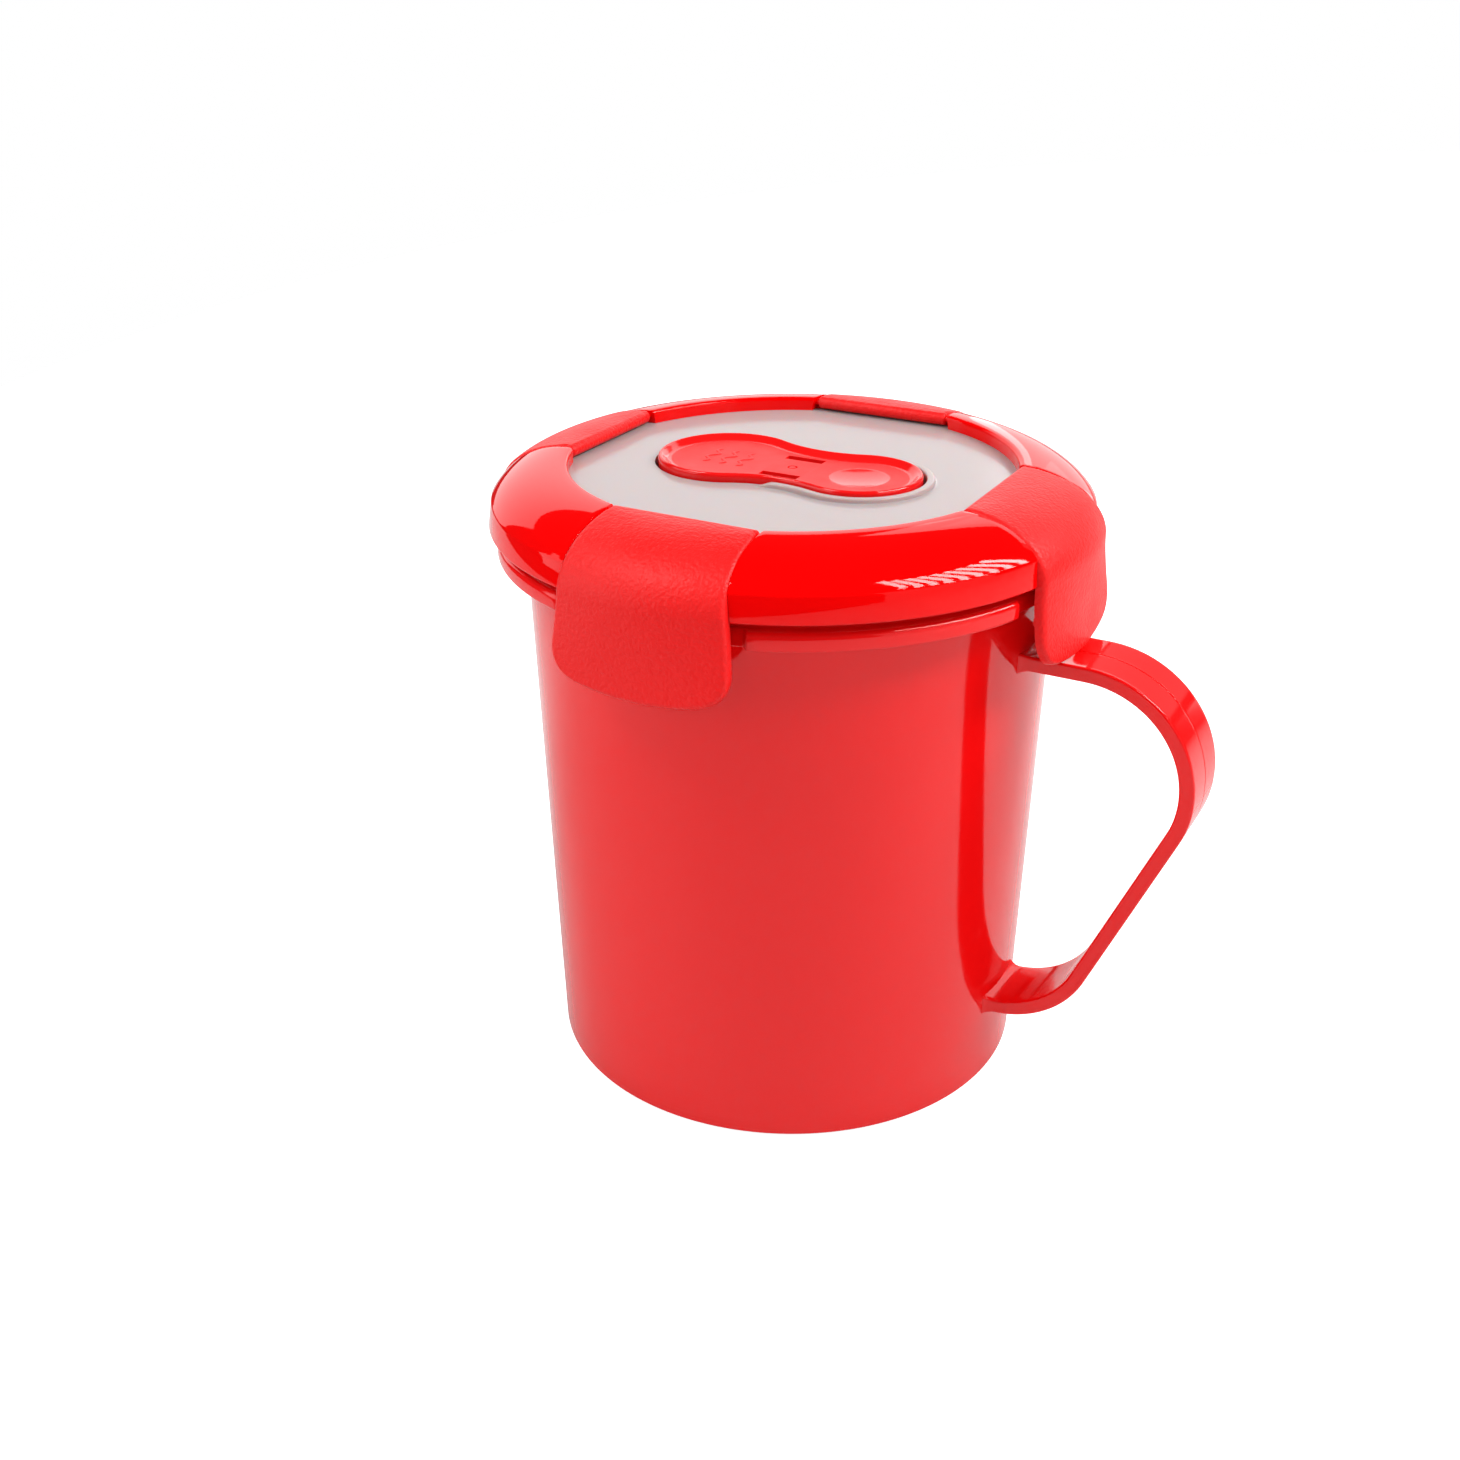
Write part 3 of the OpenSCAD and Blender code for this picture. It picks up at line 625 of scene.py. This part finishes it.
def plan_curve(depth, count):
    """One ring of the plan, at a depth inside the outline, as evenly spaced points."""
    radius = max(CORNER_R - depth, 0.02)
    bottom = CLIP_LONG - depth
    half = FLAP_HALF - depth
    corner_y = bottom - radius - END_BOW
    right = [(CLIP_HALF - depth + (FLAP_HALF - CLIP_HALF) * i / SIDE_STEPS,
              corner_y * i / SIDE_STEPS) for i in range(SIDE_STEPS)]
    right += arc(half - radius, corner_y, radius, 0, CORNER_TURN, CORNER_STEPS)
    reach = right[-1][0]
    for i in range(1, END_STEPS + 1):
        left_over = 1 - i / END_STEPS
        right.append((reach * left_over, bottom - END_BOW * left_over ** 2))
    path = [(-x, y) for x, y in right] + [(x, y) for x, y in reversed(right[:-1])]
    steps = [0.0]
    for a, b in zip(path, path[1:]):
        steps.append(steps[-1] + math.hypot(b[0] - a[0], b[1] - a[1]))
    out, i = [], 1
    for k in range(count + 1):
        goal = steps[-1] * k / count
        while i < len(steps) - 1 and steps[i] < goal:
            i += 1
        share = (goal - steps[i - 1]) / max(steps[i] - steps[i - 1], 1e-9)
        a, b = path[i - 1], path[i]
        out.append((a[0] + (b[0] - a[0]) * share, a[1] + (b[1] - a[1]) * share))
    return out


# %% Clip sheets
ROWS, COLUMNS = 46, 32
RING_DEPTHS = [5.3, 3.8, 2.6, 1.7, 1.15, ROLL, 0.6, 0.38, 0.19, 0.06, 0.0]


def plan_sheet(bm):
    """The flat plan, x across and y along. A layer keeps each point's depth inside the outline."""
    layer = bm.verts.layers.float.new("depth")
    count = 2 * ROWS + COLUMNS
    curve = plan_curve(RING_DEPTHS[0], count)
    low_left, low_right = curve[ROWS], curve[ROWS + COLUMNS]
    by_place = {}
    for v in bmesh.ops.create_grid(bm, x_segments=COLUMNS, y_segments=ROWS, size=1.0)["verts"]:
        col = round((v.co.x + 1) / 2 * COLUMNS)
        row = round((1 - v.co.y) / 2 * ROWS)
        left, right, end = curve[row], curve[count - row], curve[ROWS + col]
        share, down = col / COLUMNS, row / ROWS
        straight_x = left[0] + (right[0] - left[0]) * share
        bottom_x = low_left[0] + (low_right[0] - low_left[0]) * share
        sag = end[1] - (low_left[1] + (low_right[1] - low_left[1]) * share)
        v.co = (straight_x + (end[0] - bottom_x) * down, left[1] + sag * down, 0)
        v[layer] = RING_DEPTHS[0]
        by_place[(row, col)] = v
    chain = [by_place[(row, 0)] for row in range(ROWS)]
    chain += [by_place[(ROWS, col)] for col in range(COLUMNS)]
    chain += [by_place[(row, COLUMNS)] for row in range(ROWS, -1, -1)]
    for depth in RING_DEPTHS[1:]:
        chain = extend_chain(bm, chain, [(x / MM, y / MM, 0) for x, y in plan_curve(depth, count)],
                             closed=False)
        for v in chain:
            v[layer] = depth
    return layer


# Where the clip starts to follow the ring's curve and over what length, and how far down the
# flap it straightens again.
BOW_FROM, BOW_RUN, BOW_DOWN = 40.2, 5.0, 14.0
HOOK_FRONT, HOOK_BACK, HOOK_TOP, HOOK_R, HOOK_HALF, HOOK_STEPS = 53.05, 56.2, 101.7, 56.0, 15.5, 24


def flap_bow(z):
    """How far the clip follows the ring's curve: fully at the shoulder, less along the flap."""
    return 1 - 0.65 * ease((CLIP_CZ - z) / BOW_DOWN)


def lay_on_clip(verts, layer, wall):
    """Lays plan points on the bent profile, a wall's depth under it or rolled at the rim."""
    for v in verts:
        across, along, depth = v.co.x, v.co.y, v[layer]
        roll = ROLL - math.sqrt(max(ROLL ** 2 - (ROLL - min(depth, ROLL)) ** 2, 0))
        spot = on_clip_path(along, wall if wall else roll)
        bow = min(max((spot.x - BOW_FROM) / BOW_RUN, 0), 1) * flap_bow(spot.y)
        r = spot.x
        x = r - bow * (r - math.sqrt(max(r * r - across * across, 0)))
        v.co = (x * MM, across * MM, spot.y * MM)


def add_hook(bm):
    """The straight rib inside the flap; its back follows the flap's wall."""
    old = set(bm.verts)
    section = rounded([(HOOK_FRONT, HOOK_TOP), (HOOK_BACK, HOOK_TOP), (HOOK_BACK, 97.9),
                       (54.6, 99.5), (HOOK_FRONT, 100.6)],
                      [0.4, 0, 0, 0.5, 0.4], steps=4, closed=True)
    verts, edges = draw_profile(bm, section)
    bm.faces.new(verts)
    bmesh.ops.translate(bm, verts=verts, vec=(0, -HOOK_HALF * MM, 0))
    edges = push_loop(bm, edges, Vector((0, 2 * HOOK_HALF, 0)), HOOK_STEPS)
    bmesh.ops.contextual_create(bm, geom=edges)
    for v in bm.verts:
        if v in old:
            continue
        x, y, z = v.co / MM
        back = HOOK_R - flap_bow(z) * (HOOK_R - math.sqrt(HOOK_R ** 2 - y * y))
        if x > HOOK_FRONT + 0.05:
            share = (x - HOOK_FRONT) / (HOOK_BACK - HOOK_FRONT)
            v.co.x = (HOOK_FRONT + (back - HOOK_FRONT) * share) * MM


def build_clip(bm):
    layer = plan_sheet(bm)
    outer = list(bm.verts)
    made = bmesh.ops.duplicate(bm, geom=list(bm.verts) + list(bm.edges) + list(bm.faces))["geom"]
    inner = [v for v in made if isinstance(v, bmesh.types.BMVert)]
    lay_on_clip(outer, layer, 0)
    lay_on_clip(inner, layer, CLIP_WALL)
    bmesh.ops.bridge_loops(bm, edges=[e for e in bm.edges if e.is_boundary])
    barrel = add_rod(bm, BARREL_R, 2 * (CLIP_HALF - 0.02), (HINGE_X, 0, HINGE_Z), 40)
    ends = {e for v in barrel for e in v.link_edges
            if abs(abs(e.verts[0].co.y) - abs(e.verts[1].co.y)) < 1e-6
            and e.verts[0].co.y * e.verts[1].co.y > 0}
    round_edges(bm, list(ends), 0.4)
    add_hook(bm)


clip_bodies = {"clip_handle_side": ("handle_side_clip", 0), "clip_back": ("back_clip", 90),
               "clip_far_side": ("far_side_clip", 180), "clip_front": ("front_clip", -90)}
for node, (body, place) in clip_bodies.items():
    clip_mesh = bmesh.new()
    build_clip(clip_mesh)
    bmesh.ops.rotate(clip_mesh, verts=clip_mesh.verts, cent=(0, 0, 0),
                     matrix=Matrix.Rotation(math.radians(place), 3, "Z"))
    make_piece(clip_mesh, node + "_moulding", body, [CLIP_PLASTIC], [node])

# %% [markdown]
# ## The clear panel
# The panel fills the ring's window. Its plan is a circle with the vent's outline let into it, and a
# low clear wall follows the finger end of the vent. The vent's outline is two round lobes joined by
# hollow curves, and the same outline at other offsets gives the well, the wall and the rocker.

# %% Vent outline
VALVE_X, VALVE_R, FINGER_X, FINGER_R, WAIST_R = -13.2, 13.3, 13.5, 11.5, 21.6
LOBE_STEPS, WAIST_STEPS = 44, 22


def vent_outline(grow):
    """The rocker's outline, larger or smaller by an offset, always with the same point count."""
    span = FINGER_X - VALVE_X
    a, b = VALVE_R + WAIST_R, FINGER_R + WAIST_R
    along = (span ** 2 + a ** 2 - b ** 2) / (2 * span)
    up = math.sqrt(a ** 2 - along ** 2)
    waist_x = along + VALVE_X
    valve_turn = math.degrees(math.atan2(up, along))
    finger_turn = math.degrees(math.atan2(up, along - span))
    out = arc(FINGER_X, 0, FINGER_R + grow, -finger_turn, finger_turn, LOBE_STEPS)
    out += arc(waist_x, up, WAIST_R - grow, finger_turn - 180, valve_turn - 180, WAIST_STEPS)[1:-1]
    out += arc(VALVE_X, 0, VALVE_R + grow, valve_turn, 360 - valve_turn, LOBE_STEPS)
    out += arc(waist_x, -up, WAIST_R - grow, 180 - valve_turn, 180 - finger_turn, WAIST_STEPS)[1:-1]
    return out


def at_height(points, z):
    """Plan points lifted to a height, which may depend on the point."""
    return [(x, y, z(x) if callable(z) else z) for x, y in points]


def close_across(bm, chain, slot=0):
    """Closes a vent outline with strips from each point to its mirror twin."""
    count, tip = len(chain), LOBE_STEPS // 2
    for i in range(tip, tip + count // 2):
        corners = [chain[i], chain[(i + 1) % count], chain[(2 * tip - i - 1) % count],
                   chain[(2 * tip - i) % count]]
        made = bmesh.ops.contextual_create(bm, geom=list(dict.fromkeys(corners)))["faces"]
        for face in made:
            face.material_index = slot


# %% Panel
WELL_GAP, WELL_WALL, COLLAR_WALL, COLLAR_H, COLLAR_ROUND = 0.6, 1.6, 1.5, 0.85, 0.35
WELL_Z, SEAT_Z, DEEP_X = 109.0, 112.4, -6.0
PANEL_T, PANEL_R = 1.8, 41.5
PIVOT_Y, EAR_SIZE, EAR_Z = 5.3, (6.4, 1.4, 5.0), 111.4


def circle_like(points, radius):
    """A circle with one point for each point of an outline, in the same directions."""
    return [(radius * x / math.hypot(x, y), radius * y / math.hypot(x, y)) for x, y in points]


def collar_top(x, rise):
    """The clear wall goes round the finger end only and slopes away at the waist."""
    return PANEL_Z + rise * ease((x + 1.5) / 3.0)


def well_floor(x, lift):
    """Deep under the finger end, and shallow where the valve has its seat."""
    return WELL_Z + (SEAT_Z - WELL_Z) * ease((DEEP_X + 0.8 - x) / 1.6) + lift


def build_panel(bm):
    """Follows the panel's section from its underside out, up over the top and into the well."""
    hole = vent_outline(WELL_GAP)
    shell = vent_outline(WELL_GAP + WELL_WALL)
    bottom = PANEL_Z - PANEL_T
    chain = start_chain(bm, at_height(shell, lambda x: well_floor(x, 0) - WELL_WALL))
    close_across(bm, chain)
    chain = extend_chain(bm, chain, at_height(shell, bottom))
    section = rounded([(41.1, bottom), (41.1, 112.6), (47.6, 111.4), (47.6, 104.2), (49.2, 104.2),
                       (49.3, 108.7), (49.75, 108.7), (49.75, 109.5), (51.8, 109.5), (51.8, 108.7),
                       (52.6, 108.8), (52.6, 110.2), (49.3, 110.3), (49.3, 111.3), (47.5, 112.2),
                       (43.1, 112.5), (42.9, PANEL_Z), (PANEL_R, PANEL_Z)],
                      [0, 0.3, 0.6, 0.3, 0.3, 0, 0, 0, 0, 0, 0.2, 0.2, 0, 0.3, 0.5, 0.5, 0.15, 0],
                      steps=3)
    for r, z in section:
        chain = extend_chain(bm, chain, at_height(circle_like(hole, r), z))
    rim, brink = circle_like(hole, PANEL_R), vent_outline(WELL_GAP + 2.2)
    for share in (0.25, 0.5, 0.75, 1.0):
        between = [(a[0] * (1 - share) + b[0] * share, a[1] * (1 - share) + b[1] * share)
                   for a, b in zip(rim, brink)]
        chain = extend_chain(bm, chain, at_height(between, PANEL_Z))
    wall, top = WELL_GAP + COLLAR_WALL, COLLAR_H - COLLAR_ROUND
    collar = [(wall + 0.3, 0.0), (wall + 0.06, 0.06), (wall, 0.3)]
    collar += arc(wall - COLLAR_ROUND, top, COLLAR_ROUND, 0, 90, 5)
    collar += arc(WELL_GAP + COLLAR_ROUND, top, COLLAR_ROUND, 90, 180, 5)
    for grow, rise in collar:
        chain = extend_chain(bm, chain,
                             at_height(vent_outline(grow), lambda x: collar_top(x, rise)))
    chain = extend_chain(bm, chain, at_height(hole, PANEL_Z - 0.6))
    for grow, lift in ((0, 0.5), (-0.1, 0.15), (-0.4, 0)):
        chain = extend_chain(bm, chain, at_height(vent_outline(WELL_GAP + grow),
                                                  lambda x: well_floor(x, lift)))
    close_across(bm, chain)


panel_mesh = bmesh.new()
build_panel(panel_mesh)
for side in (-1, 1):
    add_box(panel_mesh, EAR_SIZE, (0, side * PIVOT_Y, EAR_Z))
make_piece(panel_mesh, "clear_panel", "lid", [CLEAR_PLASTIC], ["lid_panel"],
           crease=35)

# %% [markdown]
# ## The steam vent
# The rocker is a plate with a raised, rounded lip. Its cross section is followed from the skirt up
# over the lip and down to the face, as a stack of outlines. Cutters then press the finger dimple,
# the two slots and the small moulding mark into the face.

# %% Rocker
PLATE_Z, FACE_Z, LIP_H, LIP_W, LIP_BOTTOM = 114.5, 115.9, 1.0, 1.5, 113.9


def build_rocker(bm):
    top = FACE_Z + LIP_H
    section = [(-LIP_W, PLATE_Z), (-LIP_W, LIP_BOTTOM + 0.1), (-LIP_W + 0.1, LIP_BOTTOM),
               (-0.25, LIP_BOTTOM), (-0.05, LIP_BOTTOM + 0.1), (0.0, LIP_BOTTOM + 0.3)]
    section += arc(-0.5, top - 0.8, 0.5, 0, 90, 9, 0.8)
    slope = [(-0.5, top), (-0.85, top - 0.13), (-1.2, top - 0.42), (-1.6, top - 0.72),
             (-2.0, top - 0.92), (-2.5, FACE_Z)]
    section += smooth_path(slope, 3)[1:]
    chain = start_chain(bm, at_height(vent_outline(section[0][0]), section[0][1]))
    close_across(bm, chain)
    for grow, z in section[1:]:
        chain = extend_chain(bm, chain, at_height(vent_outline(grow), z))
    close_across(bm, chain, slot=1)


def cut_with(piece, tools):
    """Takes each tool's shape out of the piece and throws the tool away."""
    for tool in tools:
        change = piece.modifiers.new("cut", "BOOLEAN")
        change.operation = "DIFFERENCE"
        change.solver = "EXACT"
        change.object = tool
    depsgraph = bpy.context.evaluated_depsgraph_get()
    done = bpy.data.meshes.new_from_object(piece.evaluated_get(depsgraph))
    piece.modifiers.clear()
    piece.data = done
    for tool in tools:
        bpy.data.objects.remove(tool)


rocker_mesh = bmesh.new()
build_rocker(rocker_mesh)
rocker = make_piece(rocker_mesh, "vent_rocker_plate", "vent",
                    [VENT_GLOSS, VENT_SATIN], ["vent_rocker"], crease=30)

# %% Rocker details
DIMPLE_D, DIMPLE_W = 0.42, 11.0
SLOT_SIZE = (7.6, 2.0, 4.0)
MARK_IN, MARK_OUT, MARK_LOW, MARK_HIGH = 0.6, 0.95, FACE_Z - 0.2, FACE_Z + 0.3

ball = bmesh.new()
ball_r = (DIMPLE_W ** 2 / 4 + DIMPLE_D ** 2) / (2 * DIMPLE_D)
ball_at = Vector((FINGER_X, 0, FACE_Z - DIMPLE_D + ball_r)) * MM
bmesh.ops.create_uvsphere(ball, u_segments=96, v_segments=180, radius=ball_r * MM)
bmesh.ops.translate(ball, verts=ball.verts, vec=ball_at)
tools = [to_object(ball, "dimple_tool")]
for side in (-1, 1):
    slot_tool = bmesh.new()
    add_box(slot_tool, SLOT_SIZE, (0, side * PIVOT_Y, FACE_Z))
    tools.append(to_object(slot_tool, "slot_tool"))
mark = bmesh.new()
spin_round(mark, [(MARK_IN, MARK_LOW), (MARK_OUT, MARK_LOW), (MARK_OUT, MARK_HIGH),
                  (MARK_IN, MARK_HIGH)], 40)
bmesh.ops.recalc_face_normals(mark, faces=mark.faces)
tools.append(to_object(mark, "mark_tool"))
cut_with(rocker, tools)
rocker.data.set_sharp_from_angle(angle=math.radians(30))
print("rocker after cutting", len(rocker.data.polygons), "faces")

# %% [markdown]
# On the valve end of the rocker three faint raised waves stand for steam. Each is a low, rounded
# bar pushed along a wavy line, sunk into the face from below.

# %% Steam waves
WAVE_HALF, WAVE_SWING, WAVE_STEPS = 4.2, 0.75, 32
WAVE_SECTION = [(-0.45, -0.3), (0.45, -0.3), (0.45, 0.02), (0.22, 0.14), (-0.22, 0.14),
                (-0.45, 0.02)]

wave_mesh = bmesh.new()
for middle_x in (-16.6, -13.2, -9.8):
    rows = []
    for k in range(WAVE_STEPS + 1):
        y = WAVE_HALF - 2 * WAVE_HALF * k / WAVE_STEPS
        taper = max(0.0, 1 - abs(y / WAVE_HALF) ** 6) ** 0.5 * 0.95 + 0.05
        x = middle_x + WAVE_SWING * math.sin(y * 1.5)
        rows.append([(x + a * taper, y, FACE_Z + b * (taper if b > 0 else 1))
                     for a, b in WAVE_SECTION])
    chain = start_chain(wave_mesh, rows[0])
    bmesh.ops.contextual_create(wave_mesh, geom=chain)
    for row in rows[1:]:
        chain = extend_chain(wave_mesh, chain, row)
    bmesh.ops.contextual_create(wave_mesh, geom=chain)
make_piece(wave_mesh, "steam_waves", "vent", [VENT_SATIN], crease=60)

# %% [markdown]
# Under the plate, a stout axle hangs on webs and snaps into the panel's two ears.

# %% Rocker axle
AXLE_R, AXLE_LONG, AXLE_Z = 1.2, 14.8, 112.6
WEB_T, WEB_H, WEB_Z = 2.0, 2.4, 113.8

axle_mesh = bmesh.new()
add_rod(axle_mesh, AXLE_R, AXLE_LONG, (0, 0, AXLE_Z), 40)
for middle_y, width in ((0, 8.4), (-6.9, 1.0), (6.9, 1.0)):
    add_box(axle_mesh, (WEB_T, width, WEB_H), (0, middle_y, WEB_Z))
make_piece(axle_mesh, "rocker_axle", "vent", [VENT_GLOSS], crease=30)

# %% [markdown]
# ## The seals
# Two soft silicone pieces do the sealing. One is a ring in a groove of the panel, which the rim
# presses on, and the other is a small plug under the rocker. Both are turned shapes.

# %% Seals
SEAL_IN, SEAL_OUT, SEAL_LOW, SEAL_HIGH = 49.76, 51.79, 107.2, 109.49
PLUG_TOP, PLUG_R, PLUG_FLANGE_R = 114.5, 3.2, 4.2

seal_mesh = bmesh.new()
spin_round(seal_mesh, rounded([(SEAL_IN, SEAL_LOW), (SEAL_OUT, SEAL_LOW), (SEAL_OUT, SEAL_HIGH),
                               (SEAL_IN, SEAL_HIGH)], 0.25, steps=4, closed=True), 160)
make_piece(seal_mesh, "lid_seal_ring", "lid", [SEAL_RUBBER], ["lid_seal"])
plug_mesh = bmesh.new()
plug_points = [(0, SEAT_Z), (PLUG_FLANGE_R, SEAT_Z), (4.0, 113.2), (PLUG_R, 113.3),
               (PLUG_R, PLUG_TOP), (0, PLUG_TOP)]
spin_round(plug_mesh, rounded(plug_points, [0, 0.15, 0.15, 0.1, 0.1, 0], steps=3), 64,
           closed=False)
bmesh.ops.translate(plug_mesh, verts=plug_mesh.verts, vec=Vector((VALVE_X, 0, 0)) * MM)
make_piece(plug_mesh, "vent_plug", "vent", [SEAL_RUBBER], ["vent_seal"])

# %% [markdown]
# ## Floor and light
# The photograph is a plain product shot: white all round, with soft light from the sides and from
# above. The floor and the world look white to the camera through the Light Path node, while the
# light that they throw on the mug stays at a plain level. In a reflection the world is nearly
# dark, so that the polished plastic mirrors only the floor, the bright wall at the back and the
# window with its slats, which are lamps.

# %% Floor
FLOOR_AT = (0.40, 0.56, -0.0002)
FLOOR_GLOW = 0.85


def make_paper():
    """Plain paper that glows for the camera only, so that it looks white."""
    material, tree, shader, add, noise, spread, blend_colours = node_tools("floor paper")
    tone = blend_colours(spread(noise(60.0), 0.0, 1.0), (0.66, 0.66, 0.66), (0.65, 0.65, 0.65))
    tree.links.new(tone, shader.inputs["Base Color"])
    shader.inputs["Roughness"].default_value = 0.7
    light_path = add("ShaderNodeLightPath")
    lift = add("ShaderNodeMath", operation="MULTIPLY")
    lift.inputs[1].default_value = FLOOR_GLOW
    tree.links.new(light_path.outputs["Is Camera Ray"], lift.inputs[0])
    tree.links.new(lift.outputs[0], shader.inputs["Emission Strength"])
    shader.inputs["Emission Color"].default_value = (1, 1, 1, 1)
    return material


floor_mesh = bmesh.new()
bmesh.ops.create_circle(floor_mesh, cap_ends=True, segments=96, radius=1.0)
bmesh.ops.translate(floor_mesh, verts=floor_mesh.verts, vec=FLOOR_AT)
floor = to_object(floor_mesh, "floor")
floor.data.materials.append(make_paper())

# %% World and lamps
ROOM_LIGHT, ROOM_IN_MIRROR = 0.36, 0.04
LID_AIM = 0.11
SLATS, SLAT_GLOW = 9, 23.0


def set_world():
    """White to the camera and through clear plastic, soft light for all else, and nearly dark
    in a reflection."""
    world = bpy.data.worlds.new("studio")
    bpy.context.scene.world = world
    world.use_nodes = True
    tree = world.node_tree
    tree.nodes.clear()
    kinds = ("OutputWorld", "Background", "Math", "Background", "LightPath", "MixShader", "Math")
    out, soft, dim, white, light, mix, most = [tree.nodes.new("ShaderNode" + k) for k in kinds]
    soft.inputs["Color"].default_value = (1, 1, 1, 1)
    dim.operation = "MULTIPLY_ADD"
    dim.inputs[1].default_value = ROOM_IN_MIRROR - ROOM_LIGHT
    dim.inputs[2].default_value = ROOM_LIGHT
    white.inputs["Color"].default_value = (1, 1, 1, 1)
    white.inputs["Strength"].default_value = 1.0
    most.operation = "MAXIMUM"
    tree.links.new(light.outputs["Is Glossy Ray"], dim.inputs[0])
    tree.links.new(dim.outputs[0], soft.inputs["Strength"])
    tree.links.new(light.outputs["Is Camera Ray"], most.inputs[0])
    tree.links.new(light.outputs["Is Transmission Ray"], most.inputs[1])
    tree.links.new(most.outputs[0], mix.inputs["Fac"])
    tree.links.new(soft.outputs[0], mix.inputs[1])
    tree.links.new(white.outputs[0], mix.inputs[2])
    tree.links.new(mix.outputs[0], out.inputs["Surface"])


def add_lamp(name, azimuth, height, away, width, tall, glow, aim_z=0.08):
    """A soft box that points at the mug, by two angles in degrees and three lengths in metres.
    Glow is how bright its face is, in the picture's own scale."""
    data = bpy.data.lights.new(name, "AREA")
    data.shape = "RECTANGLE"
    data.size = width
    data.size_y = tall
    data.energy = glow * math.pi * width * tall
    lamp = bpy.data.objects.new(name, data)
    bpy.context.collection.objects.link(lamp)
    turn, rise = math.radians(azimuth), math.radians(height)
    aim = Vector((0, 0, aim_z))
    lamp.location = aim + away * Vector((math.cos(rise) * math.cos(turn),
                                         math.cos(rise) * math.sin(turn), math.sin(rise)))
    lamp.rotation_euler = (aim - lamp.location).to_track_quat("-Z", "Y").to_euler()
    return lamp


set_world()
add_lamp("back_wall", 136, 17, 1.0, 1.2, 0.60, 1.4)
add_lamp("back_wall_middle", 97, 10, 1.0, 0.36, 0.42, 1.4)
add_lamp("back_wall_right", 74, 2, 1.0, 0.5, 0.16, 1.4)
add_lamp("back_room", 78, 26, 1.0, 0.75, 0.5, 0.4)
add_lamp("back_high", 86, 36, 1.0, 0.70, 0.18, 1.6)
add_lamp("left_soft", -140, 10, 1.0, 0.9, 0.8, 1.7)
add_lamp("right_soft", -10, 12, 1.0, 0.8, 0.7, 0.62)
add_lamp("top_left", -135, 52, 0.8, 0.34, 0.28, 7.5, aim_z=LID_AIM)
front = add_lamp("front_soft", -70, 26, 1.2, 1.1, 0.5, 0.8)
front.visible_glossy = False
# The window's slats, each six degrees further round and a little lower and longer.
for i in range(SLATS):
    add_lamp("blind_%d" % i, 6.0 * i - 15, 52.5 - 2.1 * i, 0.7, 0.033, 0.17 + 0.014 * i,
             SLAT_GLOW, aim_z=LID_AIM)
bpy.context.scene.view_settings.view_transform = "Standard"
